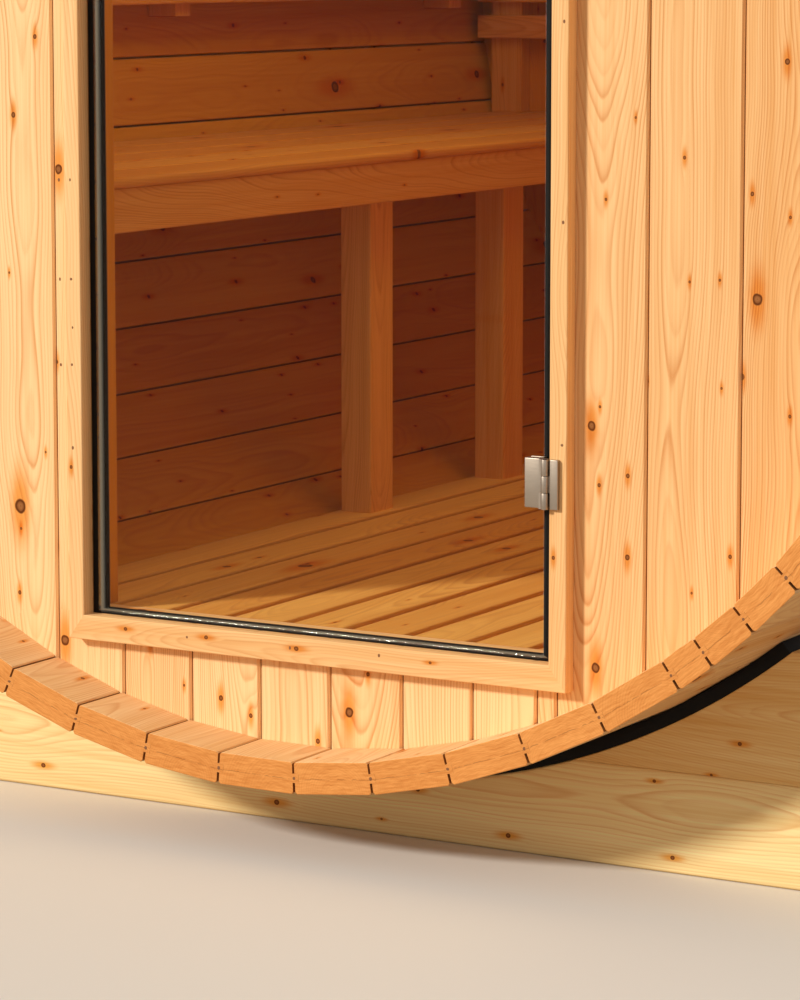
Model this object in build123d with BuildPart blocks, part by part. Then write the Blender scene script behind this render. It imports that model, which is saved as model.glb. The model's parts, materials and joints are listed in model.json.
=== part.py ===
from build123d import *
import os
from math import acos, cos, degrees, radians, sin, sqrt

# A barrel sauna: a round cabin of tongued and grooved staves lying on two timber cradles.
# The origin is on the ground under the middle, +X to the right of the door, +Y into the barrel.
# Depths are measured back from the barrel's front end, heights and sides from the barrel's axis.

# General clearances
fit_gap = 0.3
end_clearance = 2.0

# Barrel
barrel_length = 2500.0
barrel_radius = 1025.0
ground_gap = 92.0

# Staves
stave_thickness = 42.0
stave_count = 53
fitted_widths = (54.6, 70.8, 79.1)
fitted_start = 35.7
staves_per_segment = 7
stave_easing = 2.5
shoulder = 0.75
tongue_thickness = 12.0
tongue_reach = 7.5
tongue_tip_room = 1.0

# End walls and the croze that holds them
end_recess = 98.0
wall_thickness = 42.0
croze_depth = 10.0
side_board = 127.0
door_board = 108.5
jamb_board = 58.0
vee_width = 5.5
vee_depth = 3.5

# Door opening
door_left = -330.0
door_right = 378.5
door_corner_room = 11.3

# Casings, seal and sill
casing_thickness = 22.0
casing_side = 24.5
casing_end = 33.5
casing_easing = 1.5
lining_thickness = 19.0
lining_width = 40.0
seal_overlap = 3.1
seal_depth = 10.0
sill_thickness = 6.0

# Glass door
glass_thickness = 8.0
glass_setback = 5.0
glass_left_gap = 18.0
glass_right_gap = 15.5
glass_end_gap = 5.5
glass_corner = 3.0

# Door handle
handle_from_edge = 57.0
handle_height = 200.0
handle_length = 250.0
handle_width = 30.0
handle_thickness = 28.0
handle_standoff = 37.0
handle_corner = 8.0
handle_easing = 5.0
handle_bolt_spacing = 170.0
handle_bolt_radius = 5.0
handle_spacer_radius = 9.0

# Hinges
hinge_height = 63.0
hinge_from_end = 230.0
hinge_axis_inset = 3.0
knuckle_radius = 5.0
knuckle_gap = 0.5
pin_radius = 2.5
pin_clearance = 0.1
leaf_clearance = 1.5
frame_leaf_width = 9.0
frame_leaf_thickness = 6.0
glass_leaf_width = 25.0
glass_leaf_thickness = 10.0
clamp_thickness = 3.0
clamp_edge = 1.8
leaf_rounding = 1.0

# Floor
floor_slat_width = 78.0
floor_slat_gap = 14.0
floor_slat_thickness = 20.0
joist_width = 45.0
joist_height = 60.0
joist_count = 4
joist_end_room = 210.0

# Bench along the left wall
bench_top = -258.0
bench_front = -392.0
bench_slat_width = 99.6
bench_slat_gap = 12.0
bench_slat_thickness = 16.0
bench_nosing = 6.0
fascia_setback = 4.0
fascia_thickness = 22.0
fascia_drop = 62.0
rail_thickness = 18.0
rail_drop = 56.0
post_width = 55.0
post_depth = 70.0
post_wall_room = 3.0
post_steps = (825.0, 435.0)
bearer_width = 45.0
bearer_drop = 45.0
ledger_width = 45.0
ledger_drop = 45.0

# Backrest along the left wall
backrest_stave_gap = 78.0
backrest_bottom = -36.0
backrest_slats = 2
backrest_slat_width = 88.0
backrest_slat_gap = 20.0
backrest_thickness = 18.0
backrest_near_gap = 18.0
backrest_far_gap = 15.0
bracket_width = 45.0
bracket_overhang = 22.0
bracket_count = 3
bracket_end_room = 140.0

# Backrest on the back wall, over the end of the bench
end_slat_stave_gap = 22.0
end_slat_bottom = -117.0
end_slats = 3
end_slat_width = 44.0
end_slat_gap = 25.0
end_slat_thickness = 20.0
batten_corner_room = 4.6
batten_end_room = 42.0
batten_width = 66.0
batten_thickness = 35.0
batten_rise = 14.0

# Cradles
cradle_depth = 205.0
cradle_thickness = 60.0
cradle_half_length = 1150.0
cradle_lower_height = 133.0
cradle_upper_height = 170.0
wing_foot = 1080.0
wing_head = 980.0
pad_thickness = 18.4
pad_end_room = 1.6

# Steel bands
band_count = 3
band_end_room = 330.0
band_width = 30.0
band_thickness = 1.5
band_bolt_stave = 5
band_opening = 36.0
band_lug_height = 24.0
band_lug_thickness = 4.0
band_bolt_radius = 4.0
band_head_radius = 7.5
band_head_height = 5.3

# Worked out from the driving dimensions
half_length = barrel_length / 2
axis_height = barrel_radius + ground_gap
inner_radius = barrel_radius - stave_thickness
fitted_angles = [degrees(width / barrel_radius) for width in fitted_widths]
stave_angle = (360 - sum(fitted_angles)) / stave_count
inner_flat = inner_radius * cos(radians(stave_angle / 2))
inner_clear = inner_flat - fit_gap
tongue_inner = inner_radius + (stave_thickness - tongue_thickness) / 2
tongue_outer = tongue_inner + tongue_thickness
groove_reach = tongue_reach + tongue_tip_room
wall_front = end_recess
wall_back = wall_front + wall_thickness
rear_wall_front = barrel_length - wall_back
rear_wall_back = barrel_length - wall_front
croze_radius = inner_radius + croze_depth
wall_radius = croze_radius - fit_gap
door_head_reach = sqrt(inner_clear**2 - (door_right + lining_width) ** 2)
door_top = door_head_reach - lining_width - door_corner_room
door_bottom = -door_top
left_seam = door_left - jamb_board
right_seam = door_right + side_board
casing_front = wall_front - casing_thickness
glass_back = wall_front - glass_setback
glass_front = glass_back - glass_thickness
glass_left = door_left + glass_left_gap
glass_right = door_right - glass_right_gap
glass_bottom = door_bottom + glass_end_gap
glass_top = door_top - glass_end_gap
floor_top = door_bottom + sill_thickness
floor_under = floor_top - floor_slat_thickness
floor_pitch = floor_slat_width + floor_slat_gap
floor_width = 2 * sqrt(inner_clear**2 - floor_top**2)
floor_slat_count = int((floor_width + floor_slat_gap) / floor_pitch)
room_near = wall_back + end_clearance
room_far = rear_wall_front - end_clearance
bench_under = bench_top - bench_slat_thickness
bench_pitch = bench_slat_width + bench_slat_gap
bench_reach = sqrt(inner_clear**2 - bench_under**2) + bench_front
bench_slats = int((bench_reach + bench_slat_gap) / bench_pitch)
rail_front = bench_front - fascia_setback - fascia_thickness
rail_back = rail_front - rail_thickness
bearer_under = bench_under - bearer_drop
first_post = room_near + post_wall_room + bearer_width
post_depths = [first_post + sum(post_steps[:index]) for index in range(len(post_steps) + 1)]
batten_near = rear_wall_front - batten_thickness
end_slat_left = end_slat_stave_gap - inner_radius
backrest_front = backrest_stave_gap - inner_radius
backrest_near = room_near + backrest_near_gap
backrest_far = batten_near - end_slat_thickness - backrest_far_gap
cradle_seat_radius = barrel_radius + fit_gap + pad_thickness
cradle_seam = cradle_lower_height - axis_height
cradle_top = cradle_seam + cradle_upper_height
pad_half_angle = degrees(acos((pad_end_room - cradle_top) / cradle_seat_radius))

barrel_plane = Plane(origin=(0, 0, axis_height), x_dir=(1, 0, 0), z_dir=(0, -1, 0))

os.makedirs("parts", exist_ok=True)


def across(depth):
    """The plane across the barrel at a depth behind its front end, facing the front."""
    return barrel_plane.offset(half_length - depth)


def at_depth(depth):
    """The row's Y of a depth behind the front end."""
    return depth - half_length


def spread(first, last, count):
    """Evenly spaced depths from the first to the last."""
    step = (last - first) / (count - 1)
    return [first + index * step for index in range(count)]


def save(piece, name):
    """Label a finished piece and write it under its own name."""
    piece.part.label = name
    export_step(piece.part, f"parts/{name}.step")


def bar(left, right, low, high, near, far, mode=Mode.ADD):
    """A straight timber or plate between two sides, two heights and two depths."""
    middle = ((left + right) / 2, at_depth((near + far) / 2), axis_height + (low + high) / 2)
    with Locations(middle):
        Box(right - left, far - near, high - low, mode=mode)


def scribed_bar(left, right, low, high, near, far, radius):
    """A timber whose outer edge is cut to the round of the barrel."""
    with BuildSketch(across(far)) as section:
        with Locations(((left + right) / 2, (low + high) / 2)):
            Rectangle(right - left, high - low)
        Circle(radius, mode=Mode.INTERSECT)
    extrude(section.sketch, amount=far - near)


def joint_point(angle, radius, past_joint):
    """A point of a stave's end, by its joint's angle from the lowest point and its place there."""
    turn = radians(angle)
    side = radius * sin(turn) + past_joint * cos(turn)
    height = past_joint * sin(turn) - radius * cos(turn)
    return (side, height)


def stave_outline(start, end):
    """A stave's end: a tongue on one edge, a groove on the other, and open shoulders."""
    tongue_side = [
        (end, barrel_radius, -shoulder - stave_easing),
        (end, barrel_radius - stave_easing, -shoulder),
        (end, tongue_outer, -shoulder),
        (end, tongue_outer, tongue_reach),
        (end, tongue_inner, tongue_reach),
        (end, tongue_inner, -shoulder),
        (end, inner_radius, -shoulder),
    ]
    groove_side = [
        (start, inner_radius, shoulder),
        (start, tongue_inner - fit_gap, shoulder),
        (start, tongue_inner - fit_gap, groove_reach),
        (start, tongue_outer + fit_gap, groove_reach),
        (start, tongue_outer + fit_gap, shoulder),
        (start, barrel_radius - stave_easing, shoulder),
        (start, barrel_radius, shoulder + stave_easing),
    ]
    return [joint_point(*corner) for corner in tongue_side + groove_side]


def stave_spans():
    """Start and end angles of every stave, the narrow fitted ones first, then the regular ones."""
    spans = []
    start = fitted_start
    for width in fitted_angles + [stave_angle] * stave_count:
        spans.append((start, start + width))
        start += width
    return spans


def cut_vees(lines, depth, inward):
    """V-grooves along the joints of a wall's boards, down the face at a depth."""
    face = at_depth(depth)
    with BuildSketch(Plane.XY.offset(axis_height - wall_radius)) as vees:
        for line in lines:
            with BuildLine():
                Polyline(
                    (line - vee_width / 2, face),
                    (line, face + inward),
                    (line + vee_width / 2, face),
                    close=True,
                )
            make_face()
    extrude(vees.sketch, amount=2 * wall_radius, mode=Mode.SUBTRACT)


def board_lines(first, pitch, end):
    """Joints of boards of one width, from the first line up to where the wall's piece ends."""
    count = int(abs(end - first) / abs(pitch) - 0.2) + 1
    return [first + index * pitch for index in range(count)]


# Staves, in segments of neighbours
spans = stave_spans()
for segment_start in range(0, len(spans), staves_per_segment):
    with BuildPart() as segment:
        for start, end in spans[segment_start:segment_start + staves_per_segment]:
            with BuildSketch(barrel_plane):
                with BuildLine():
                    Polyline(*stave_outline(start, end), close=True)
                make_face()
            extrude(amount=half_length, both=True)
        for croze_far in (wall_back + fit_gap, rear_wall_back + fit_gap):
            with BuildSketch(across(croze_far)):
                Circle(croze_radius)
            extrude(amount=wall_thickness + 2 * fit_gap, mode=Mode.SUBTRACT)
    save(segment, f"stave_segment_{segment_start // staves_per_segment + 1}")

# Front wall beside the door, each side with the strip that reaches the opening
for name, seam, jamb, pitch in (
    ("front_wall_left", left_seam, door_left, -side_board),
    ("front_wall_right", right_seam, door_right, side_board),
):
    outside = wall_radius if pitch > 0 else -wall_radius
    with BuildPart() as side_wall:
        with BuildSketch(across(wall_back)):
            with Locations(((seam + outside) / 2, 0)):
                Rectangle(abs(outside - seam), 2 * wall_radius)
            with Locations(((seam + jamb) / 2, (door_bottom + door_top) / 2)):
                Rectangle(abs(seam - jamb), door_top - door_bottom)
            Circle(wall_radius, mode=Mode.INTERSECT)
        extrude(amount=wall_thickness)
        cut_vees(board_lines(seam, pitch, outside), wall_front, vee_depth)
    save(side_wall, name)

# Front wall below and above the door
for name, low, high in (
    ("front_wall_below_door", -wall_radius, door_bottom),
    ("front_wall_above_door", door_top, wall_radius),
):
    with BuildPart() as end_wall:
        with BuildSketch(across(wall_back)):
            with Locations(((left_seam + right_seam) / 2, (low + high) / 2)):
                Rectangle(right_seam - left_seam, high - low)
            Circle(wall_radius, mode=Mode.INTERSECT)
        extrude(amount=wall_thickness)
        inner_lines = board_lines(left_seam + door_board, door_board, right_seam)
        cut_vees([left_seam] + inner_lines + [right_seam], wall_front, vee_depth)
    save(end_wall, name)

# Back wall, one round of boards
with BuildPart() as back_wall:
    with BuildSketch(across(rear_wall_back)):
        Circle(wall_radius)
    extrude(amount=wall_thickness)
    half_lines = board_lines(side_board / 2, side_board, wall_radius)
    cut_vees(half_lines + [-line for line in half_lines], rear_wall_back, -vee_depth)
save(back_wall, "back_wall")

# Outer casing, mitred round the opening on the wall's face
inner_corners = [
    (door_left, door_bottom), (door_right, door_bottom), (door_right, door_top), (door_left, door_top),
]
outer_corners = [
    (door_left - casing_side, door_bottom - casing_end),
    (door_right + casing_side, door_bottom - casing_end),
    (door_right + casing_side, door_top + casing_end),
    (door_left - casing_side, door_top + casing_end),
]
for index, side in enumerate(("bottom", "right", "top", "left")):
    after = (index + 1) % 4
    with BuildPart() as casing:
        with BuildSketch(across(wall_front)):
            with BuildLine():
                Polyline(
                    inner_corners[index], inner_corners[after], outer_corners[after], outer_corners[index],
                    close=True,
                )
            make_face()
        extrude(amount=casing_thickness)
        chamfer(casing.faces().sort_by(Axis.Y)[0].edges(), casing_easing)
    save(casing, f"door_casing_{side}")

# Lining boards round the opening on the room's side
with BuildPart() as door_lining:
    lining_back = wall_back + lining_thickness
    lining_foot = floor_top + fit_gap
    lining_head = door_top + lining_width
    bar(door_left - lining_width, door_left, lining_foot, lining_head, wall_back, lining_back)
    bar(door_right, door_right + lining_width, lining_foot, lining_head, wall_back, lining_back)
    bar(door_left + fit_gap, door_right - fit_gap, door_top, lining_head, wall_back, lining_back)
save(door_lining, "door_lining")

# Sill strip in the bottom of the opening, level with the floor
with BuildPart() as door_sill:
    bar(
        door_left + fit_gap, door_right - fit_gap, door_bottom, floor_top,
        wall_front + seal_depth + fit_gap, wall_back,
    )
save(door_sill, "door_sill")

# Rubber seal round the opening, behind the glass
with BuildPart() as door_seal:
    bar(door_left, door_right, door_bottom, door_top, wall_front, wall_front + seal_depth)
    bar(
        glass_left + seal_overlap, glass_right - seal_overlap,
        glass_bottom + seal_overlap, glass_top - seal_overlap,
        wall_front, wall_front + seal_depth, mode=Mode.SUBTRACT,
    )
save(door_seal, "door_seal")

# Glass door leaf with its two handle holes
handle_side = glass_left + handle_from_edge
bolt_heights = (handle_height - handle_bolt_spacing / 2, handle_height + handle_bolt_spacing / 2)
with BuildPart() as door_glass:
    with BuildSketch(across(glass_back)) as leaf:
        with Locations(((glass_left + glass_right) / 2, (glass_bottom + glass_top) / 2)):
            Rectangle(glass_right - glass_left, glass_top - glass_bottom)
        chamfer(leaf.vertices(), glass_corner)
        with Locations(*[(handle_side, height) for height in bolt_heights]):
            Circle(handle_bolt_radius + fit_gap, mode=Mode.SUBTRACT)
    extrude(amount=glass_thickness)
save(door_glass, "door_glass")

# Wooden grips on both faces of the glass
with BuildPart() as door_handle:
    for near in (
        glass_front - handle_standoff - handle_thickness,
        glass_back + handle_standoff,
    ):
        with BuildSketch(across(near + handle_thickness)):
            with Locations((handle_side, handle_height)):
                Rectangle(handle_width, handle_length)
        extrude(amount=handle_thickness)
    chamfer(door_handle.edges().filter_by(Axis.Y), handle_corner)
    outlines = door_handle.edges().group_by(Axis.Y)
    chamfer(outlines[0] + outlines[-1], handle_easing)
save(door_handle, "door_handle")

# Bolts that carry the grips, with a hexagonal spacer on each side of the glass
with BuildPart() as handle_bolts:
    with BuildSketch(across(glass_back + handle_standoff)):
        with Locations(*[(handle_side, height) for height in bolt_heights]):
            Circle(handle_bolt_radius)
    extrude(amount=2 * handle_standoff + glass_thickness)
    for far in (glass_front, glass_back + handle_standoff):
        with BuildSketch(across(far)):
            with Locations(*[(handle_side, height) for height in bolt_heights]):
                RegularPolygon(handle_spacer_radius, 6)
        extrude(amount=handle_standoff)
save(handle_bolts, "handle_bolts")

# Hinges: a leaf with a pin on the casing and a leaf that clamps the glass
hinge_side = door_right - hinge_axis_inset
hinge_depth = casing_front - frame_leaf_thickness
knuckle_height = hinge_height / 3
frame_leaf_left = hinge_side + knuckle_radius + leaf_clearance
glass_leaf_right = hinge_side - knuckle_radius - leaf_clearance
glass_leaf_left = glass_leaf_right - glass_leaf_width
glass_leaf_front = glass_front - glass_leaf_thickness


def upright_rod(radius, low, high, mode=Mode.ADD):
    """A round rod or bore on the hinge's axis between two heights."""
    with Locations((hinge_side, at_depth(hinge_depth), axis_height + (low + high) / 2)):
        Cylinder(radius, high - low, mode=mode)


for name, middle in (
    ("lower_hinge", door_bottom + hinge_from_end),
    ("upper_hinge", door_top - hinge_from_end),
):
    foot = middle - hinge_height / 2
    head = middle + hinge_height / 2
    knuckle_low = middle - knuckle_height / 2
    knuckle_high = middle + knuckle_height / 2
    with BuildPart() as frame_leaf:
        bar(
            frame_leaf_left, frame_leaf_left + frame_leaf_width, foot, head,
            hinge_depth, casing_front,
        )
        chamfer(frame_leaf.faces().sort_by(Axis.Y)[0].edges(), leaf_rounding)
        bar(
            hinge_side, frame_leaf_left + leaf_rounding * 2, knuckle_low, knuckle_high,
            hinge_depth + leaf_rounding, casing_front - leaf_rounding,
        )
        upright_rod(knuckle_radius, knuckle_low, knuckle_high)
        upright_rod(pin_radius, foot, head)
    save(frame_leaf, f"{name}_frame_leaf")

    with BuildPart() as glass_leaf:
        bar(glass_leaf_left, glass_leaf_right, foot, head, glass_leaf_front, glass_front)
        chamfer(glass_leaf.faces().sort_by(Axis.Y)[0].edges(), leaf_rounding)
        bar(
            glass_right + fit_gap, glass_right + fit_gap + clamp_edge, foot, head,
            glass_front - fit_gap, glass_back + clamp_thickness,
        )
        bar(
            glass_leaf_left, glass_right + fit_gap + clamp_edge, foot, head,
            glass_back, glass_back + clamp_thickness,
        )
        for low, high in ((foot, knuckle_low - knuckle_gap), (knuckle_high + knuckle_gap, head)):
            bar(
                glass_leaf_right - leaf_rounding * 2, hinge_side, low, high,
                hinge_depth, glass_leaf_front + knuckle_radius,
            )
            upright_rod(knuckle_radius, low, high)
            upright_rod(pin_radius + pin_clearance, low, high, mode=Mode.SUBTRACT)
    save(glass_leaf, f"{name}_glass_leaf")

# Floor slats, the outer ones bevelled to the barrel
with BuildPart() as floor_slats:
    with BuildSketch(across(room_far)):
        with Locations((0, floor_top - floor_slat_thickness / 2)):
            with GridLocations(floor_pitch, 1, floor_slat_count, 1):
                Rectangle(floor_slat_width, floor_slat_thickness)
        Circle(inner_clear, mode=Mode.INTERSECT)
    extrude(amount=room_far - wall_back - fit_gap)
save(floor_slats, "floor_slats")

# Floor joists with their ends cut to the barrel
with BuildPart() as floor_joists:
    for middle in spread(joist_end_room, barrel_length - joist_end_room, joist_count):
        scribed_bar(
            -inner_radius, inner_radius, floor_under - joist_height, floor_under,
            middle - joist_width / 2, middle + joist_width / 2, inner_clear,
        )
save(floor_joists, "floor_joists")

# Bench seat, five slats with a rounded nosing on the front one
with BuildPart() as bench_seat:
    for index in range(bench_slats):
        right = bench_front - index * bench_pitch
        bar(right - bench_slat_width, right, bench_under, bench_top, room_near, room_far)
    nosing = bench_seat.edges().filter_by(Axis.Y).group_by(Axis.X)[-1]
    fillet(nosing, bench_nosing)
save(bench_seat, "bench_seat_slats")

# Bench fascia
with BuildPart() as bench_fascia:
    bar(
        rail_front, rail_front + fascia_thickness, bench_under - fascia_drop, bench_under,
        room_near, room_far,
    )
    chamfer(bench_fascia.edges().filter_by(Axis.Y).group_by(Axis.X)[-1], casing_easing)
save(bench_fascia, "bench_fascia")

# Bench framing: the front rail, the cross bearers on the posts and the ledger on the staves
with BuildPart() as bench_bearers:
    bar(rail_back, rail_front, bench_under - rail_drop, bench_under, room_near, room_far)
    for near in post_depths:
        scribed_bar(
            -inner_radius, rail_back, bearer_under, bench_under,
            near - bearer_width, near, inner_clear,
        )
    ledger_outer = -sqrt(inner_clear**2 - bearer_under**2)
    scribed_bar(
        ledger_outer, ledger_outer + ledger_width * 2, bearer_under - ledger_drop, bearer_under,
        room_near, room_far, inner_clear,
    )
save(bench_bearers, "bench_bearers")

# Bench posts from the floor to the seat, against the rail and the bearers
with BuildPart() as bench_posts:
    for near in post_depths:
        scribed_bar(
            rail_back - post_width, rail_back, floor_top, bench_under,
            near, near + post_depth, inner_clear,
        )
save(bench_posts, "bench_posts")

# Backrest slats along the left wall
backrest_back = backrest_front - backrest_thickness
backrest_pitch = backrest_slat_width + backrest_slat_gap
with BuildPart() as backrest_boards:
    for index in range(backrest_slats):
        low = backrest_bottom + index * backrest_pitch
        bar(backrest_back, backrest_front, low, low + backrest_slat_width, backrest_near, backrest_far)
save(backrest_boards, "backrest_slats")

# Brackets that carry the backrest on the staves
backrest_top = backrest_bottom + backrest_slats * backrest_pitch - backrest_slat_gap
with BuildPart() as backrest_brackets:
    for middle in spread(
        backrest_near + bracket_end_room, backrest_far - bracket_end_room, bracket_count
    ):
        scribed_bar(
            -inner_radius, backrest_back,
            backrest_bottom - bracket_overhang, backrest_top + bracket_overhang,
            middle - bracket_width / 2, middle + bracket_width / 2, inner_clear,
        )
save(backrest_brackets, "backrest_brackets")

# Backrest slats on the back wall and the upright battens that carry them
end_pitch = end_slat_width + end_slat_gap
with BuildPart() as end_backrest:
    for index in range(end_slats):
        low = end_slat_bottom + index * end_pitch
        bar(
            end_slat_left, bench_front, low, low + end_slat_width,
            batten_near - end_slat_thickness, batten_near,
        )
save(end_backrest, "end_backrest_slats")

batten_top = end_slat_bottom + end_slats * end_pitch - end_slat_gap + batten_rise
batten_left = batten_corner_room - sqrt(inner_clear**2 - bench_top**2)
with BuildPart() as end_battens:
    for left in (batten_left, bench_front - batten_end_room - batten_width):
        bar(left, left + batten_width, bench_top + fit_gap, batten_top, batten_near, rear_wall_front)
save(end_battens, "end_backrest_battens")

# Cradles under both ends: a lower board with a dip and an upper board of two wings
cradle_fars = {
    "front_cradle": cradle_depth + cradle_thickness,
    "rear_cradle": barrel_length - cradle_depth,
}
for name, far in cradle_fars.items():
    with BuildPart() as lower_board:
        with BuildSketch(across(far)):
            with Locations((0, cradle_seam - cradle_lower_height / 2)):
                Rectangle(2 * cradle_half_length, cradle_lower_height)
            Circle(cradle_seat_radius, mode=Mode.SUBTRACT)
        extrude(amount=cradle_thickness)
    save(lower_board, f"{name}_lower_board")

    with BuildPart() as upper_board:
        with BuildSketch(across(far)):
            with BuildLine():
                Polyline(
                    (-wing_foot, cradle_seam), (wing_foot, cradle_seam),
                    (wing_head, cradle_top), (-wing_head, cradle_top),
                    close=True,
                )
            make_face()
            Circle(cradle_seat_radius, mode=Mode.SUBTRACT)
        extrude(amount=cradle_thickness)
    save(upper_board, f"{name}_upper_board")

# Rubber pads between the staves and the cradles
with BuildPart() as cradle_pads:
    for far in cradle_fars.values():
        with BuildSketch(across(far)):
            with BuildLine():
                outer_arc = CenterArc(
                    (0, 0), cradle_seat_radius - fit_gap, -90 - pad_half_angle, 2 * pad_half_angle
                )
                inner_arc = CenterArc(
                    (0, 0), barrel_radius + fit_gap, -90 - pad_half_angle, 2 * pad_half_angle
                )
                Line(outer_arc @ 0, inner_arc @ 0)
                Line(outer_arc @ 1, inner_arc @ 1)
            make_face()
        extrude(amount=cradle_thickness)
save(cradle_pads, "cradle_pads")

# Steel bands drawn tight over the staves' corners, each by a bolt through two lugs on one stave
bolt_start, bolt_end = spans[band_bolt_stave]
bolt_angle = (bolt_start + bolt_end) / 2
flat_share = cos(radians((bolt_end - bolt_start) / 2))
band_joints = [end for start, end in spans[band_bolt_stave:] + spans[:band_bolt_stave]]
band_inner = barrel_radius + fit_gap
band_outer = band_inner + band_thickness


def band_line(radius):
    """The band's line from one lug over every joint between the staves to the other lug."""
    corners = [joint_point(angle, radius, 0) for angle in band_joints]
    first = joint_point(bolt_angle, radius * flat_share, band_opening / 2)
    last = joint_point(bolt_angle, radius * flat_share, -band_opening / 2)
    return [first] + corners + [last]


def lug_outline(near, far):
    """A lug that stands out from the bolt's stave, between two places along the stave's width."""
    foot = band_inner * flat_share
    head = foot + band_lug_height
    places = ((foot, near), (foot, far), (head, far), (head, near))
    return [joint_point(bolt_angle, radius, place) for radius, place in places]


with BuildPart() as steel_bands:
    for middle in spread(band_end_room, barrel_length - band_end_room, band_count):
        with BuildSketch(across(middle + band_width / 2)):
            with BuildLine():
                Polyline(*band_line(band_inner), *reversed(band_line(band_outer)), close=True)
            make_face()
            for edge in (band_opening / 2, -band_opening / 2 - band_lug_thickness):
                with BuildLine():
                    Polyline(*lug_outline(edge, edge + band_lug_thickness), close=True)
                make_face()
        extrude(amount=band_width)
        bolt_centre = joint_point(bolt_angle, band_inner * flat_share + band_lug_height / 2, 0)
        bolt_plane = Plane(
            origin=(bolt_centre[0], at_depth(middle), axis_height + bolt_centre[1]),
            x_dir=(0, 1, 0),
            z_dir=(cos(radians(bolt_angle)), 0, sin(radians(bolt_angle))),
        )
        with BuildSketch(bolt_plane):
            Circle(band_bolt_radius)
        extrude(amount=band_opening / 2, both=True)
        for side in (1, -1):
            with BuildSketch(bolt_plane.offset(side * (band_opening / 2 + band_lug_thickness))):
                RegularPolygon(band_head_radius, 6)
            extrude(amount=side * band_head_height)
save(steel_bands, "steel_bands")
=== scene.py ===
"""The looks of a barrel sauna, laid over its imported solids.

Pieces are set out in barrel coordinates: sides and heights from the barrel's axis, and depths behind
its front end, all in metres. A finished mesh moves into the row's frame; its object stays at the origin.
"""

from __future__ import annotations

import json
import logging
import math
import random
from dataclasses import dataclass, field, replace
from enum import Enum
from typing import Callable, Iterable, Optional, Sequence, Union

import bmesh
import bpy
from mathutils import Matrix, Vector

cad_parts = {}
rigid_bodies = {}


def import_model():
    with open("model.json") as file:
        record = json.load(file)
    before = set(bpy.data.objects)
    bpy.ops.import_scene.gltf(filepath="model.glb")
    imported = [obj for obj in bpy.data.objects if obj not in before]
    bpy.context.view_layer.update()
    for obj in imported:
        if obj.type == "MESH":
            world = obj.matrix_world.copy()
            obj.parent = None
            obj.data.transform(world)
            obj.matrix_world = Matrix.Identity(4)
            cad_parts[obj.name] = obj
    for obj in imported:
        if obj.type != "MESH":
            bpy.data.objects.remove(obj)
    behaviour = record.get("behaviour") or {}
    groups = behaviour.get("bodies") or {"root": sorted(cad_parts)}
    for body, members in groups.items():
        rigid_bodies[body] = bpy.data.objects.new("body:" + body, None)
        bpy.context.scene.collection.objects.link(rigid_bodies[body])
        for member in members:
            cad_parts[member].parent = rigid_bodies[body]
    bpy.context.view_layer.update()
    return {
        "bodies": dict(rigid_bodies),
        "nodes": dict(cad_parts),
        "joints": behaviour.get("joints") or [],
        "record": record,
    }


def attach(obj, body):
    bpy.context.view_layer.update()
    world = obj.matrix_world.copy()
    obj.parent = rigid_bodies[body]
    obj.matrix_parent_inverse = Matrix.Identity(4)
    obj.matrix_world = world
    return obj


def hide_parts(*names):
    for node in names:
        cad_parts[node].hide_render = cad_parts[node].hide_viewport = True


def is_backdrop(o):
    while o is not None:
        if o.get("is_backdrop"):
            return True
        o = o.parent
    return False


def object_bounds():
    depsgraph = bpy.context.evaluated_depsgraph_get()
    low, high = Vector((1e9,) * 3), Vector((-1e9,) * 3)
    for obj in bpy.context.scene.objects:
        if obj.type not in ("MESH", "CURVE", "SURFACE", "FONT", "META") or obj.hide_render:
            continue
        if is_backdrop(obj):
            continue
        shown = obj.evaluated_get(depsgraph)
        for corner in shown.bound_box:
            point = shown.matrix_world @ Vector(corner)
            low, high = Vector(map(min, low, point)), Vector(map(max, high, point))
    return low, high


log = logging.getLogger("barrel_sauna")

Pair = tuple[float, float]
Outline = Sequence[Pair]
Colour = tuple[float, float, float]
Shape = bmesh.types.BMesh
Mesh = bpy.types.Mesh
Object = bpy.types.Object
Material = bpy.types.Material
Node = bpy.types.Node
Tree = bpy.types.NodeTree


class Way(Enum):
    """A direction of the barrel's coordinates."""

    SIDE = 0
    DEPTH = 1
    HEIGHT = 2

    @property
    def vector(self) -> Vector:
        """The unit vector that points this way."""
        return Vector([float(index == self.value) for index in range(3)])

    def point(self, first: float, second: float, level: float) -> Vector:
        """A point from its two places across this way and its level along it."""
        places = [first, second]
        places.insert(self.value, level)
        return Vector(places)


class Slot(Enum):
    """The record's material slots."""

    STAVE = "stave"
    WALL_BOARD = "wall_board"
    TRIM_BOARD = "trim_board"
    ROOM_BOARD = "room_board"
    CRADLE_BOARD = "cradle_board"
    DOOR_GLASS = "door_glass"
    HINGE_STEEL = "hinge_steel"
    BAND_STEEL = "band_steel"
    SEAL_RUBBER = "seal_rubber"
    PAD_RUBBER = "pad_rubber"


class Body(Enum):
    """The bodies that pieces ride on."""

    BARREL = "barrel"
    DOOR = "door"


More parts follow.
